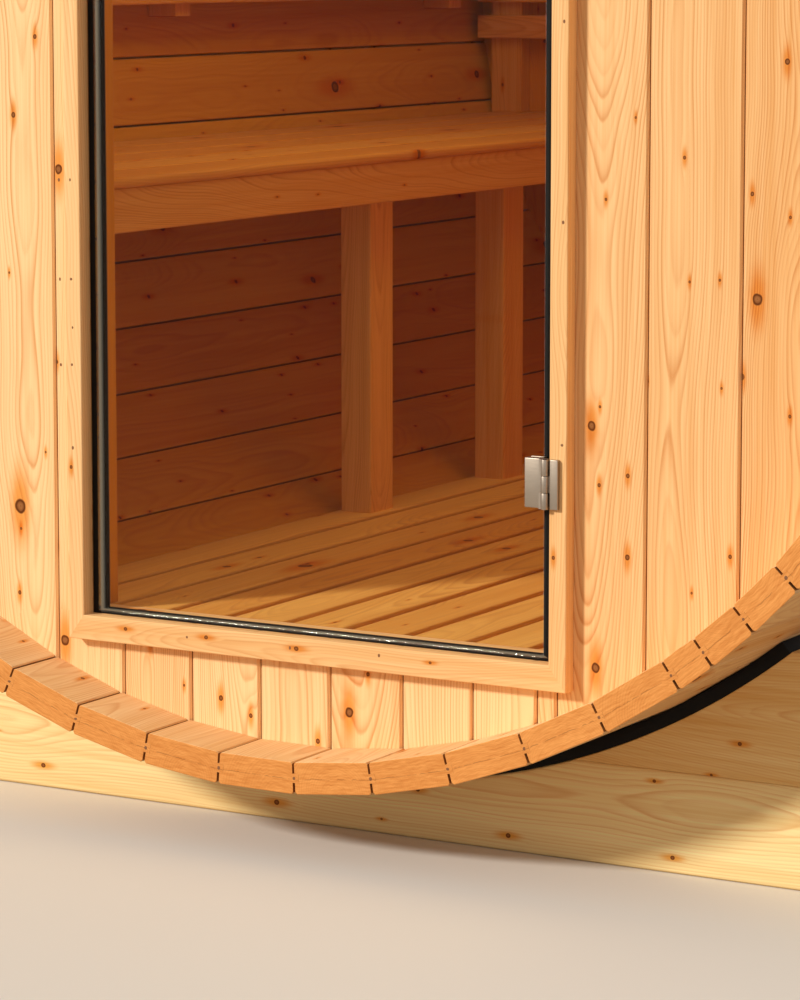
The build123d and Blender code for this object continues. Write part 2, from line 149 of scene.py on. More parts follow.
@dataclass(frozen=True)
class Barrel:
    """The sizes that every piece is set out from."""

    length: float = 2.5
    radius: float = 1.025
    axis_height: float = 1.117
    stave_thickness: float = 0.042
    stave_count: int = 53
    fitted_widths: tuple[float, ...] = (0.0546, 0.0708, 0.0791)
    fitted_start: float = 35.7
    clearance: float = 0.0003
    croze_depth: float = 0.010
    end_recess: float = 0.098
    wall_thickness: float = 0.042

    @property
    def inner_radius(self) -> float:
        """Radius of the staves' inner faces at their joints."""
        return self.radius - self.stave_thickness

    @property
    def fitted_angles(self) -> list[float]:
        """Widths of the fitted staves in degrees of the round."""
        return [math.degrees(width / self.radius) for width in self.fitted_widths]

    @property
    def stave_angle(self) -> float:
        """Width of a regular stave in degrees of the round."""
        return (360 - sum(self.fitted_angles)) / self.stave_count

    @property
    def inner_clear(self) -> float:
        """Radius that a timber in the room keeps within, clear of the staves' flat faces."""
        return self.inner_radius * math.cos(math.radians(self.stave_angle / 2)) - self.clearance

    @property
    def wall_radius(self) -> float:
        """Radius of the end walls, which stand in the croze."""
        return self.inner_radius + self.croze_depth - self.clearance

    @property
    def wall_back(self) -> float:
        """Depth of the front wall's face on the room's side."""
        return self.end_recess + self.wall_thickness

    def in_room(self, point: Vector) -> bool:
        """Whether a point lies between the end walls, on or within the staves' inner faces."""
        within = self.wall_back - 1e-4 < point.y < self.length - self.wall_back + 1e-4
        return within and math.hypot(point.x, point.z) < self.inner_radius + 0.012

    def spans(self) -> list[Pair]:
        """Start and end angles of every stave, the fitted ones first."""
        found = []
        start = self.fitted_start
        for width in self.fitted_angles + [self.stave_angle] * self.stave_count:
            found.append((start, start + width))
            start += width
        return found

    def on_round(self, angle: float, radius: float, past: float = 0.0) -> Pair:
        """A side and a height on the round.

        Args:
            angle: degrees from the lowest point towards the right.
            radius: distance from the axis along the joint's line.
            past: distance past that line, towards larger angles.

        Returns:
            The side and the height.
        """
        turn = math.radians(angle)
        side = radius * math.sin(turn) + past * math.cos(turn)
        return (side, past * math.sin(turn) - radius * math.cos(turn))

    def to_row(self) -> Matrix:
        """The move from barrel coordinates into the row's frame."""
        return Matrix.Translation((0.0, -self.length / 2, self.axis_height))

    def scribed(self, left: float, right: float, low: float, high: float) -> list[Pair]:
        """The outline of a timber whose ends follow the inside of the barrel.

        Args:
            left, right: its sides before it is cut.
            low, high: its heights.

        Returns:
            Sides and heights in order round.
        """
        def edge(height: float, limit: float) -> Pair:
            """The side at a height, cut where the round is nearer than the limit."""
            at_round = math.sqrt(max(self.inner_clear ** 2 - height ** 2, 0.0))
            return (max(-at_round, min(at_round, limit)), height)

        heights = [low + (high - low) * step / 8 for step in range(9)]
        points = [edge(height, right) for height in heights]
        points += [edge(height, left) for height in reversed(heights)]
        kept = [points[0]]
        for before, point, after in zip(points, points[1:], points[2:]):
            turn = (point[0] - before[0]) * (after[1] - point[1]) - (point[1] - before[1]) * (after[0] - point[0])
            if abs(turn) > 1e-9:
                kept.append(point)
        return kept + [points[-1]]


@dataclass(frozen=True)
class Character:
    """What sets one board apart from its neighbours."""

    tone: float = 0.0
    heart: float = 0.0
    rings: float = 0.0
    shift: float = 0.0


def prism(outline: Outline, way: Way, start: float, end: float) -> Shape:
    """A closed solid with one outline all along a way.

    Args:
        outline: its places across the way, in order round.
        way: the direction it runs in.
        start, end: its two ends along that way.

    Returns:
        The new shape, its faces outwards.
    """
    shape = bmesh.new()
    rings = [[shape.verts.new(way.point(a, b, level)) for a, b in outline] for level in (start, end)]
    for ring in rings:
        shape.faces.new(ring)
    return skin(shape, rings)


def skin(shape: Shape, rings: Sequence[Sequence[bmesh.types.BMVert]], closed: bool = False) -> Shape:
    """Lays faces from ring to ring, and from the last to the first where they run in a loop.

    Args:
        shape: the shape that holds the rings.
        rings: its rings of points in order.
        closed: whether the rings run in a loop.

    Returns:
        The same shape, its faces outwards.
    """
    for ring, following in zip(rings, list(rings[1:]) + [rings[0]] * closed):
        for index in range(len(ring)):
            after = (index + 1) % len(ring)
            shape.faces.new((ring[index], following[index], following[after], ring[after]))
    bmesh.ops.recalc_face_normals(shape, faces=shape.faces)
    return shape


def bevel(shape: Shape, edges: list[bmesh.types.BMEdge], width: float, segments: int) -> None:
    """Rounds the given edges of a shape."""
    bmesh.ops.bevel(
        shape, geom=edges, offset=width, offset_type="OFFSET", segments=segments, profile=0.5,
        affect="EDGES", clamp_overlap=True,
    )


def ease(
    shape: Shape, width: float, segments: int = 2, along: Optional[Way] = None, sharper: float = 28.0,
) -> Shape:
    """Rounds the arrises of a shape.

    Args:
        shape: the shape to round.
        width: how far the round reaches from the arris.
        segments: faces across the round.
        along: only the arrises that run this way, or all of them.
        sharper: least angle in degrees between the faces of an arris that is rounded.

    Returns:
        The same shape.
    """
    shape.normal_update()
    arrises = []
    for edge in shape.edges:
        if len(edge.link_faces) != 2 or edge.calc_face_angle(0.0) < math.radians(sharper):
            continue
        run = (edge.verts[1].co - edge.verts[0].co).normalized()
        if along is None or abs(run.dot(along.vector)) > 0.99:
            arrises.append(edge)
    bevel(shape, arrises, width, segments)
    return shape


def rod(
    centre: Sequence[float], way: Way, radius: float, start: float, end: float, sides: int = 32,
    arris: float = 0.0,
) -> Shape:
    """A round or many-sided rod.

    Args:
        centre: a point on its axis.
        way: the direction of its axis.
        radius: from the axis to its corners.
        start, end: its ends along that way.
        sides: how many sides it has.
        arris: bevel of its end edges, or none.

    Returns:
        The new shape.
    """
    first, second = [part for index, part in enumerate(Vector(centre)) if index != way.value]
    turns = [math.tau * (index + 0.5) / sides for index in range(sides)]
    shape = prism(
        [(first + radius * math.cos(turn), second + radius * math.sin(turn)) for turn in turns], way, start, end,
    )
    return ease(shape, arris, 2, sharper=60.0) if arris else shape


def show(name: str, mesh: Mesh, *finishes: Finish) -> Object:
    """Sets a mesh in the scene with only the given finishes on it.

    Args:
        name: the name of the object.
        mesh: its mesh, in the row's frame.
        finishes: its finishes; a single one covers every face.

    Returns:
        The new object, at the origin.
    """
    mesh.name = name
    mesh.materials.clear()
    for finish in finishes:
        mesh.materials.append(finish.make())
    if len(finishes) == 1:
        mesh.polygons.foreach_set("material_index", [0] * len(mesh.polygons))
    made = bpy.data.objects.new(name, mesh)
    bpy.context.scene.collection.objects.link(made)
    return made


def dress(piece: Object, body: Body, nodes: Iterable[str]) -> Object:
    """Gives a finished piece its body and the nodes it stands for, and reports it.

    Args:
        piece: the finished object.
        body: what it rides on.
        nodes: the solids that it replaces.

    Returns:
        The same object.
    """
    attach(piece, body.value)
    names = list(nodes)
    if names:
        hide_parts(*names)
    piece.data.calc_loop_triangles()
    log.info("%s: %d triangles, rides on %s", piece.name, len(piece.data.loop_triangles), body.value)
    return piece


@dataclass
class Gathered:
    """Shapes gathered into one mesh."""

    barrel: Barrel
    points: list[Vector] = field(default_factory=list)
    faces: list[list[int]] = field(default_factory=list)

    def add(self, shape: Shape) -> None:
        """Takes in a shape, in barrel coordinates, and frees it.

        Args:
            shape: the shape, in barrel coordinates.
        """
        base = len(self.points)
        shape.verts.index_update()
        self.points.extend(vertex.co.copy() for vertex in shape.verts)
        self.faces.extend([base + vertex.index for vertex in face.verts] for face in shape.faces)
        shape.free()

    def mesh(self, name: str) -> Mesh:
        """The gathered mesh, in barrel coordinates."""
        made = bpy.data.meshes.new(name)
        made.from_pydata(self.points, [], self.faces)
        made.update()
        return made

    def piece(
        self, name: str, finish: Finish, *nodes: str, body: Body = Body.BARREL, smooth: float = 0.0,
    ) -> Object:
        """Makes the dressed piece in the row's frame.

        Args:
            name: the piece's name.
            finish: its finish.
            nodes: the solids that it stands for.
            body: what it rides on.
            smooth: greatest angle in degrees between faces that shade as one, or 0 for flat faces.

        Returns:
            The new object, at the origin.
        """
        made = self.mesh(name)
        made.transform(self.barrel.to_row())
        if smooth:
            made.shade_smooth()
            made.set_sharp_from_angle(angle=math.radians(smooth))
        return dress(show(name, made, finish), body, nodes)


@dataclass
class Timbers(Gathered):
    """Boards gathered into one mesh, each with grain of its own; on boards laid with their joints marked, the faces
    inside the joints are darkened as painted shade.
    """

    seed: int = 1
    joint_shaded: bool = False
    grain: list[float] = field(default_factory=list)
    board: list[float] = field(default_factory=list)
    ends: list[float] = field(default_factory=list)
    room: list[float] = field(default_factory=list)
    joints: list[float] = field(default_factory=list)

    def __post_init__(self) -> None:
        """Starts the choice of boards from the seed."""
        self.rng = random.Random(self.seed)

    def character(self) -> Character:
        """Picks the next board from the stack."""
        pick = self.rng.random
        return Character(pick(), pick(), pick(), 40.0 * pick())

    def lay(
        self, shape: Shape, along: Union[Way, Vector], through: Union[Way, Vector], centre: Sequence[float],
        character: Optional[Character] = None,
    ) -> None:
        """Takes in a board.

        Args:
            shape: the board, in barrel coordinates.
            along: the way or unit vector of its grain.
            through: the way or unit vector of its thickness.
            centre: the middle of the board's section.
            character: its looks, or those of the next board.
        """
        looks = character or self.character()
        along, through = [turn.vector if isinstance(turn, Way) else turn for turn in (along, through)]
        across = along.cross(through)
        shape.normal_update()
        for vertex in shape.verts:
            offset = vertex.co - Vector(centre)
            self.grain.extend((offset.dot(across), offset.dot(through), offset.dot(along) + looks.shift))
            self.board.extend((looks.tone, looks.heart, looks.rings))
        for face in shape.faces:
            corners = len(face.verts)
            self.ends.extend([float(abs(face.normal.dot(along)) > 0.7)] * corners)
            # Marks for painted shade in the wood: faces in the room, and faces inside a joint of a board laid with its
            # joints marked.
            self.room.extend([float(self.barrel.in_room(face.calc_center_median()))] * corners)
            self.joints.extend([float(self.joint_shaded and abs(face.normal.dot(across)) > 0.9)] * corners)
        self.add(shape)

    def plank(
        self, sides: Pair, depths: Pair, heights: Pair, along: Way, through: Way, arris: float = 0.0015,
        character: Optional[Character] = None,
    ) -> None:
        """Lays a straight board with rounded long arrises.

        Args:
            sides, depths, heights: its extent.
            along: the way its grain runs.
            through: the way its thickness runs.
            arris: how far the long arrises are rounded.
            character: its looks, or those of the next board.
        """
        extent = [sides, depths, heights]
        start, end = extent.pop(along.value)
        (low_a, high_a), (low_b, high_b) = extent
        outline = ((low_a, low_b), (high_a, low_b), (high_a, high_b), (low_a, high_b))
        shape = ease(prism(outline, along, start, end), arris, 2, along)
        self.lay(shape, along, through, [sum(pair) / 2 for pair in (sides, depths, heights)], character)

    def mesh(self, name: str) -> Mesh:
        """The gathered mesh with its grain, in barrel coordinates."""
        made = super().mesh(name)
        for label, kind, domain, field_name, values in (
            ("grain", "FLOAT_VECTOR", "POINT", "vector", self.grain),
            ("board", "FLOAT_VECTOR", "POINT", "vector", self.board),
            ("end", "FLOAT", "CORNER", "value", self.ends), ("room", "FLOAT", "CORNER", "value", self.room),
            ("joint", "FLOAT", "CORNER", "value", self.joints),
        ):
            made.attributes.new(label, kind, domain).data.foreach_set(field_name, values)
        return made


@dataclass
class NodeBench:
    """Adds nodes and their links to one tree in short calls."""

    tree: Tree

    def node(self, kind: str, **settings: object) -> Node:
        """A new node of a kind, with its settings."""
        made = self.tree.nodes.new(kind)
        for name, value in settings.items():
            setattr(made, name, value)
        return made

    def feed(self, socket: bpy.types.NodeSocket, value: object) -> None:
        """Links a socket to another node's output, or sets its value."""
        if isinstance(value, bpy.types.NodeSocket):
            self.tree.links.new(value, socket)
        elif value is not None:
            socket.default_value = value

    def call(self, kind: str, feeds: dict[str, object], **settings: object) -> object:
        """The first output in use of a new node whose inputs are fed by name.

        Args:
            kind: the kind of node.
            feeds: links or values of its inputs by name.
            settings: its settings.

        Returns:
            The output.
        """
        made = self.node(kind, **settings)
        for name, value in feeds.items():
            self.feed(next(found for found in made.inputs if found.name == name and found.enabled), value)
        return next(found for found in made.outputs if found.enabled)

    def math(self, operation: str, *values: object) -> object:
        """A Math node's result."""
        made = self.node("ShaderNodeMath", operation=operation)
        for socket, value in zip(made.inputs, values):
            self.feed(socket, value)
        return made.outputs[0]

    def times(self, first: object, second: object) -> object:
        """The product of two values."""
        return self.math("MULTIPLY", first, second)

    def plus(self, first: object, second: object) -> object:
        """The sum of two values."""
        return self.math("ADD", first, second)

    def vector(self, operation: str, *values: object) -> object:
        """A Vector Math node's vector."""
        made = self.node("ShaderNodeVectorMath", operation=operation)
        for socket, value in zip(made.inputs, values):
            self.feed(socket, value)
        return made.outputs["Value" if operation == "LENGTH" else "Vector"]

    def join(self, x: object, y: object, z: object) -> object:
        """A vector from its three parts."""
        return self.call("ShaderNodeCombineXYZ", {"X": x, "Y": y, "Z": z})

    def split(self, vector: object) -> Sequence[bpy.types.NodeSocket]:
        """The three parts of a vector or colour."""
        made = self.node("ShaderNodeSeparateXYZ")
        self.feed(made.inputs[0], vector)
        return made.outputs

    def rise(self, value: object, low: float, high: float) -> object:
        """A soft step from 0 at a low value to 1 at a high one."""
        return self.call(
            "ShaderNodeMapRange", {"Value": value, "From Min": low, "From Max": high},
            interpolation_type="SMOOTHSTEP",
        )

    def fall(self, value: object, low: float, high: float) -> object:
        """A soft step from 1 at a low value to 0 at a high one."""
        return self.math("SUBTRACT", 1.0, self.rise(value, low, high))

    def spread(self, value: object, low: float, high: float) -> object:
        """A value of 0 to 1 spread between two others."""
        return self.math("MULTIPLY_ADD", value, high - low, low)

    def noise(self, place: object, scale: Sequence[float], detail: float = 2.0, rough: float = 0.5) -> object:
        """A noise pattern stretched along the axes."""
        return self.call("ShaderNodeTexNoise", {
            "Vector": self.vector("MULTIPLY", place, tuple(scale)), "Scale": 1.0, "Detail": detail,
            "Roughness": rough,
        })

    def wave(self, place: object, detail: float, rough: float = 0.5) -> object:
        """A noise pattern along one value."""
        feeds = {"W": place, "Scale": 1.0, "Detail": detail, "Roughness": rough}
        return self.call("ShaderNodeTexNoise", feeds, noise_dimensions="1D")

    def mix(self, share: object, first: object, second: object, blend: str = "MIX") -> object:
        """A colour between two others."""
        feeds = {
            name: (*value, 1.0) if isinstance(value, tuple) else value for name, value in (("A", first), ("B", second))
        }
        return self.call("ShaderNodeMix", {"Factor": share, **feeds}, data_type="RGBA", blend_type=blend)

    def tint(self, colour: object, by: Colour) -> object:
        """A colour multiplied by another."""
        return self.mix(1.0, colour, by, "MULTIPLY")

    def attribute(self, name: str, part: str = "Fac") -> object:
        """A stored attribute."""
        return self.node("ShaderNodeAttribute", attribute_name=name).outputs[part]

    def place(self) -> object:
        """Object coordinates."""
        return self.node("ShaderNodeTexCoord").outputs["Object"]

    def bump(self, shader: Node, height: object, strength: float, distance: float) -> None:
        """Gives a shader fine relief."""
        feeds = {"Strength": strength, "Distance": distance, "Height": height}
        self.feed(shader.inputs["Normal"], self.call("ShaderNodeBump", feeds))

    def chance(self, kind: str, low: object, high: object, seed: object) -> object:
        """A random value for each board or nail."""
        return self.call("FunctionNodeRandomValue", {"Min": low, "Max": high, "Seed": seed}, data_type=kind)

    def store(self, flow: object, domain: str, kind: str, name: str, value: object) -> object:
        """Stores a value under a name and passes the geometry on."""
        feeds = {"Geometry": flow, "Name": name, "Value": value}
        return self.call("GeometryNodeStoreNamedAttribute", feeds, data_type=kind, domain=domain)

    def read(self, kind: str, name: str) -> object:
        """Reads a value stored on the geometry."""
        return self.call("GeometryNodeInputNamedAttribute", {"Name": name}, data_type=kind)

    def close(self, flow: object, finish: object) -> Tree:
        """Ends the tree with its finish and its output, and returns it."""
        dressed = self.call("GeometryNodeSetMaterial", {"Geometry": flow, "Material": finish})
        self.feed(self.node("NodeGroupOutput").inputs[0], dressed)
        return self.tree


def new_tree(name: str, kind: str, inputs: Iterable[tuple], outputs: Iterable[tuple[str, str]]) -> NodeBench:
    """Starts a node tree with named inputs and outputs.

    Args:
        name: the tree's name.
        kind: the kind of tree.
        inputs: name and kind of each input, and its value if it has one.
        outputs: name and kind of each output.

    Returns:
        A bench on the new tree.
    """
    tree = bpy.data.node_groups.new(name, kind)
    for label, socket, *value in inputs:
        made = tree.interface.new_socket(label, in_out="INPUT", socket_type=f"NodeSocket{socket}")
        if value:
            made.default_value = value[0]
    for label, socket in outputs:
        tree.interface.new_socket(label, in_out="OUTPUT", socket_type=f"NodeSocket{socket}")
    return NodeBench(tree)


@dataclass(frozen=True)
class Finish:
    """A finish for one of the record's slots."""

    name: str
    slot: Slot

    def wire(self, bench: NodeBench, shader: Node) -> None:
        """Wires the finish's nodes into a new material."""

    def make(self) -> Material:
        """The finish as a material, made once."""
        found = bpy.data.materials.get(self.name)
        if found:
            return found
        material = bpy.data.materials.new(self.name)
        material.use_nodes = True
        self.wire(NodeBench(material.node_tree), material.node_tree.nodes["Principled BSDF"])
        return material


def linear(*screen: int) -> Colour:
    """Three screen values of 0 to 255 as scene values."""
    shares = [value / 255 for value in screen]
    return tuple(share / 12.92 if share <= 0.04045 else ((share + 0.055) / 1.055) ** 2.4 for share in shares)


@dataclass(frozen=True)
class Knots:
    """One kind of knot: how far apart and how large they are, and their colour."""

    cell_across: float
    cell_along: float
    least: float
    most: float
    core: Colour


LARGE_KNOTS = Knots(0.130, 0.33, 0.0050, 0.0102, (0.29, 0.105, 0.028))
PIN_KNOTS = Knots(0.048, 0.125, 0.0012, 0.0034, (0.24, 0.080, 0.018))


@dataclass(frozen=True)
class WoodFinish(Finish):
    """A planed softwood, with its rings, knots and fibres in three dimensions."""

    early: Colour
    late: Colour
    end_grain: Colour
    knots: float = 0.30
    pins: float = 0.30
    contrast: float = 0.62
    tone: float = 0.16
    roughness: float = 0.50
    # Share of the painted warm shade that faces in the room take.
    room_shade: float = 1.0

    def grain_group(self) -> Tree:
        """The node group shared by all woods, made once.

        Returns:
            A tree that turns a wood's colours into its colour, roughness and height.
        """
        found = bpy.data.node_groups.get("softwood")
        if found:
            return found
        bench = new_tree(
            "softwood", "ShaderNodeTree",
            [(name, "Color") for name in ("Early Wood", "Late Wood", "End Grain")] + [
                ("Knot Share", "Float", 0.3), ("Pin Share", "Float", 0.3), ("Contrast", "Float", 0.6),
                ("Tone Spread", "Float", 0.15), ("Roughness", "Float", 0.5), ("Tan", "Float", 1.0),
            ],
            [("Colour", "Color"), ("Roughness", "Float"), ("Height", "Float")],
        )
        self.wire_grain(bench)
        return bench.tree

    def wire_grain(self, bench: NodeBench) -> None:
        """Wires rings, knots, fibres, tone and end grain into the group, with painted shade over what faces the room
        and inside the joints.

        Args:
            bench: the group's tree.
        """
        given = bench.node("NodeGroupInput").outputs
        grain = bench.attribute("grain", "Vector")
        tone, heart, rings = bench.split(bench.attribute("board", "Vector"))
        end, room, joint = [bench.attribute(name) for name in ("end", "room", "joint")]
        sides = bench.math("SUBTRACT", 1.0, end)
        across, through, along = bench.split(grain)

        wobble = bench.node("ShaderNodeTexNoise", noise_dimensions="2D")
        bench.feed(wobble.inputs["Vector"], bench.vector(
            "MULTIPLY", bench.join(across, along, 0.0), (130.0, 90.0, 0.0),
        ))
        wobble.inputs["Scale"].default_value = 1.0
        wobble.inputs["Detail"].default_value = 0.0
        wobble = bench.vector("SUBTRACT", wobble.outputs["Color"], (0.5, 0.5, 0.5))
        layers = [
            self.scatter(bench, grain, wobble, sides, kind, given[share])
            for kind, share in ((LARGE_KNOTS, "Knot Share"), (PIN_KNOTS, "Pin Share"))
        ]

        # The heart wanders slowly along the board, which draws arches on its faces.
        heart_side = bench.plus(bench.spread(rings, -0.055, 0.055), self.drift(bench, along, 1.3, 0.022))
        heart_far = bench.plus(bench.spread(heart, 0.018, 0.090), self.drift(bench, along, 2.1, 0.020))
        reach = bench.vector("LENGTH", bench.join(
            bench.math("SUBTRACT", across, heart_side), bench.plus(through, heart_far), 0.0,
        ))
        ripple = bench.noise(grain, (36.0, 36.0, 6.0), 1.0)
        reach = bench.plus(reach, bench.spread(ripple, -0.0024, 0.0024))
        chance = bench.math("FRACT", bench.times(tone, 7.3))
        taper = bench.times(bench.math("SUBTRACT", chance, 0.5), 0.13)
        reach = bench.math("MULTIPLY_ADD", along, taper, reach)
        for layer in layers:
            reach = bench.plus(reach, layer["bulge"])
        phase = bench.math("DIVIDE", reach, bench.spread(rings, 0.0021, 0.0042))
        within = bench.math("FRACT", phase)
        late = bench.times(bench.math("POWER", within, 2.4), bench.fall(within, 0.78, 1.0))
        year = bench.math("MULTIPLY_ADD", tone, 97.0, bench.math("FLOOR", phase))
        yearly = bench.call("ShaderNodeTexWhiteNoise", {"W": year}, noise_dimensions="1D")
        late = bench.times(late, bench.spread(yearly, 0.3, 1.9))

        # One fine noise is the fibre of the long faces and the saw marks of the ends, which waver.
        crook = bench.wave(bench.math("MULTIPLY_ADD", across, 44.0, bench.times(tone, 50.0)), 3.0, 0.65)
        off_middle = bench.math("SUBTRACT", through, bench.spread(crook, -0.0022, 0.0022))
        fine_place = bench.mix(
            end, bench.vector("MULTIPLY", grain, (270.0, 270.0, 4.5)),
            bench.vector("MULTIPLY", bench.join(across, off_middle, tone), (48.0, 420.0, 40.0)),
        )
        fibre = bench.noise(fine_place, (1.0, 1.0, 1.0), 2.0, 0.62)
        streak = bench.noise(grain, (52.0, 52.0, 1.25), 2.0, 0.6)
        late = bench.times(late, bench.spread(streak, 0.25, 1.75))
        contrast = bench.times(given["Contrast"], bench.math("MULTIPLY_ADD", room, -0.4, 1.0))
        colour = bench.mix(bench.times(late, contrast), given["Early Wood"], given["Late Wood"])
        shade = bench.plus(bench.spread(fibre, -0.26, 0.26), bench.spread(streak, -0.30, 0.30))
        shade = bench.math("MULTIPLY_ADD", bench.math("SUBTRACT", tone, 0.5), given["Tone Spread"], shade)
        colour = bench.mix(
            bench.math("MULTIPLY_ADD", shade, 1.5, 0.6), bench.tint(colour, (0.84, 0.66, 0.48)),
            bench.tint(colour, (1.08, 1.15, 1.26)),
        )

        # Sawn ends are deeper in colour, with wavy marks and a fine check along the middle.
        base = given["End Grain"]
        sawn = bench.mix(bench.times(late, 0.30), base, bench.tint(base, (0.72, 0.55, 0.42)))
        speck = bench.plus(bench.spread(fibre, -0.75, 0.75), bench.times(shade, 0.5))
        sawn = bench.mix(
            bench.plus(speck, 0.5), bench.tint(sawn, (0.78, 0.66, 0.54)), bench.tint(sawn, (1.10, 1.14, 1.18)),
        )
        check = bench.fall(bench.math("ABSOLUTE", off_middle), 0.0001, 0.0010)
        check = bench.times(check, bench.rise(crook, 0.36, 0.58))
        sawn = bench.mix(bench.times(check, 0.50), sawn, (0.20, 0.075, 0.022))
        colour = bench.mix(end, colour, sawn)

        # Knots: a flame of darker wood, a dark rim and a ringed core.
        for layer, kind in zip(layers, (LARGE_KNOTS, PIN_KNOTS)):
            warm = bench.tint(colour, (0.86, 0.50, 0.16))
            colour = bench.mix(bench.times(layer["halo"], 0.90), colour, warm)
            ringed = bench.times(bench.math("FRACT", bench.times(layer["near"], 2.6)), 0.6)
            colour = bench.mix(layer["inside"], colour, bench.mix(ringed, kind.core, (0.44, 0.185, 0.065)))
            colour = bench.mix(layer["rim"], colour, (0.135, 0.036, 0.006))

        # Painted warm shade: what faces the room is made deeper and more orange, as the dim room's shade and its
        # bounced light would make it.
        room_shaded = bench.tint(colour, (0.80, 0.52, 0.09))
        colour = bench.mix(bench.times(room, given["Tan"]), colour, room_shaded)
        # Painted shade: the faces inside a joint are darkened.
        colour = bench.mix(joint, colour, bench.tint(colour, (0.50, 0.36, 0.25)))

        rough = bench.plus(given["Roughness"], bench.spread(fibre, -0.14, 0.14))
        rough = bench.math("MULTIPLY_ADD", late, -0.06, rough)
        rough = bench.math("MULTIPLY_ADD", end, 0.16, rough)
        out = bench.node("NodeGroupOutput").inputs
        bench.feed(out["Colour"], colour)
        bench.feed(out["Roughness"], rough)
        bench.feed(out["Height"], bench.times(fibre, bench.math("MULTIPLY_ADD", end, 0.4, 1.0)))

    def drift(self, bench: NodeBench, along: object, rate: float, swing: float) -> object:
        """A slow swing along the board.

        Args:
            bench: the group's tree.
            along: place along the board.
            rate: swings in a metre.
            swing: how far it goes, to either side.

        Returns:
            The offset.
        """
        wave = bench.wave(bench.math("MULTIPLY_ADD", along, rate, 40.0 * swing), 1.0)
        return bench.spread(wave, -swing, swing)

    def scatter(
        self, bench: NodeBench, grain: object, wobble: object, sides: object, kind: Knots, share: object,
    ) -> dict[str, object]:
        """Scatters knots of one kind over the boards.

        Args:
            bench: the group's tree.
            grain: place in the board.
            wobble: an offset that keeps them from being round.
            sides: 1 on a board's long faces and 0 on its ends.
            kind: their sizes.
            share: the share of the cells that hold one.

        Returns:
            How near a point is to its knot, and the masks of core, rim, halo and bulge.
        """
        across, _, along = bench.split(grain)
        place = bench.join(
            bench.math("DIVIDE", across, kind.cell_across), bench.math("DIVIDE", along, kind.cell_along), 0.0,
        )
        cells = bench.node("ShaderNodeTexVoronoi", voronoi_dimensions="2D", feature="F1")
        bench.feed(cells.inputs["Vector"], place)
        cells.inputs["Scale"].default_value = 1.0
        cells.inputs["Randomness"].default_value = 0.9
        chance, size, _ = bench.split(cells.outputs["Color"])
        offset = bench.vector("SUBTRACT", place, cells.outputs["Position"])
        offset = bench.vector("MULTIPLY", offset, (kind.cell_across, kind.cell_along * 0.86, 0.0))
        shaken = bench.vector("MULTIPLY", wobble, (kind.most * 0.15, kind.most * 0.15, 0.0))
        offset = bench.vector("ADD", offset, shaken)
        radius = bench.spread(bench.math("POWER", size, 1.5), kind.least, kind.most)
        near = bench.math("DIVIDE", bench.vector("LENGTH", offset), radius)
        flame = bench.vector("LENGTH", bench.vector("MULTIPLY", offset, (1.0, 0.34, 0.0)))
        flame = bench.math("DIVIDE", flame, radius)
        there = bench.times(bench.math("LESS_THAN", chance, share), sides)
        bump = bench.math("EXPONENT", bench.times(bench.math("POWER", flame, 2.0), -0.11))
        rim = bench.times(bench.rise(near, 0.44, 0.84), bench.fall(near, 0.90, 1.22))
        return {
            "near": near,
            "inside": bench.times(bench.fall(near, 0.86, 1.18), there),
            "rim": bench.times(rim, there),
            "halo": bench.times(bench.math("POWER", bench.fall(flame, 0.7, 3.4), 1.5), there),
            "bulge": bench.times(bench.times(bump, radius), bench.times(there, 0.85)),
        }

    def wire(self, bench: NodeBench, shader: Node) -> None:
        """Wires the shared group and this wood's values.

        Args:
            bench: the material's tree.
            shader: its shader.
        """
        group = bench.node("ShaderNodeGroup", node_tree=self.grain_group())
        for name, value in (
            ("Early Wood", (*self.early, 1.0)), ("Late Wood", (*self.late, 1.0)),
            ("End Grain", (*self.end_grain, 1.0)), ("Knot Share", self.knots), ("Pin Share", self.pins),
            ("Contrast", self.contrast), ("Tone Spread", self.tone), ("Roughness", self.roughness),
            ("Tan", self.room_shade),
        ):
            group.inputs[name].default_value = value
        bench.feed(shader.inputs["Base Color"], group.outputs["Colour"])
        bench.feed(shader.inputs["Roughness"], group.outputs["Roughness"])
        shader.inputs["Specular IOR Level"].default_value = 0.08
        bench.bump(shader, group.outputs["Height"], 0.30, 0.0006)


@dataclass(frozen=True)
class SteelFinish(Finish):
    """Brushed steel, with fine lines along one way."""

    colour: Colour
    roughness: float
    lines: Colour = (60.0, 60.0, 900.0)

    def wire(self, bench: NodeBench, shader: Node) -> None:
        """Wires brushed lines and soft clouds.

        Args:
            bench: the material's tree.
            shader: its shader.
        """
        place = bench.place()
        brushed = bench.noise(place, self.lines)
        clouds = bench.noise(place, (14.0, 14.0, 14.0), 3.0)
        shade = bench.plus(bench.spread(brushed, -0.18, 0.18), bench.spread(clouds, -0.12, 0.12))
        dark = tuple(0.72 * part for part in self.colour)
        bench.feed(shader.inputs["Base Color"], bench.mix(bench.plus(shade, 0.6), dark, self.colour))
        shader.inputs["Metallic"].default_value = 1.0
        rough = bench.plus(bench.spread(brushed, -0.08, 0.08), bench.spread(clouds, -0.08, 0.08))
        bench.feed(shader.inputs["Roughness"], bench.plus(rough, self.roughness))
        bench.bump(shader, brushed, 0.18, 0.0002)


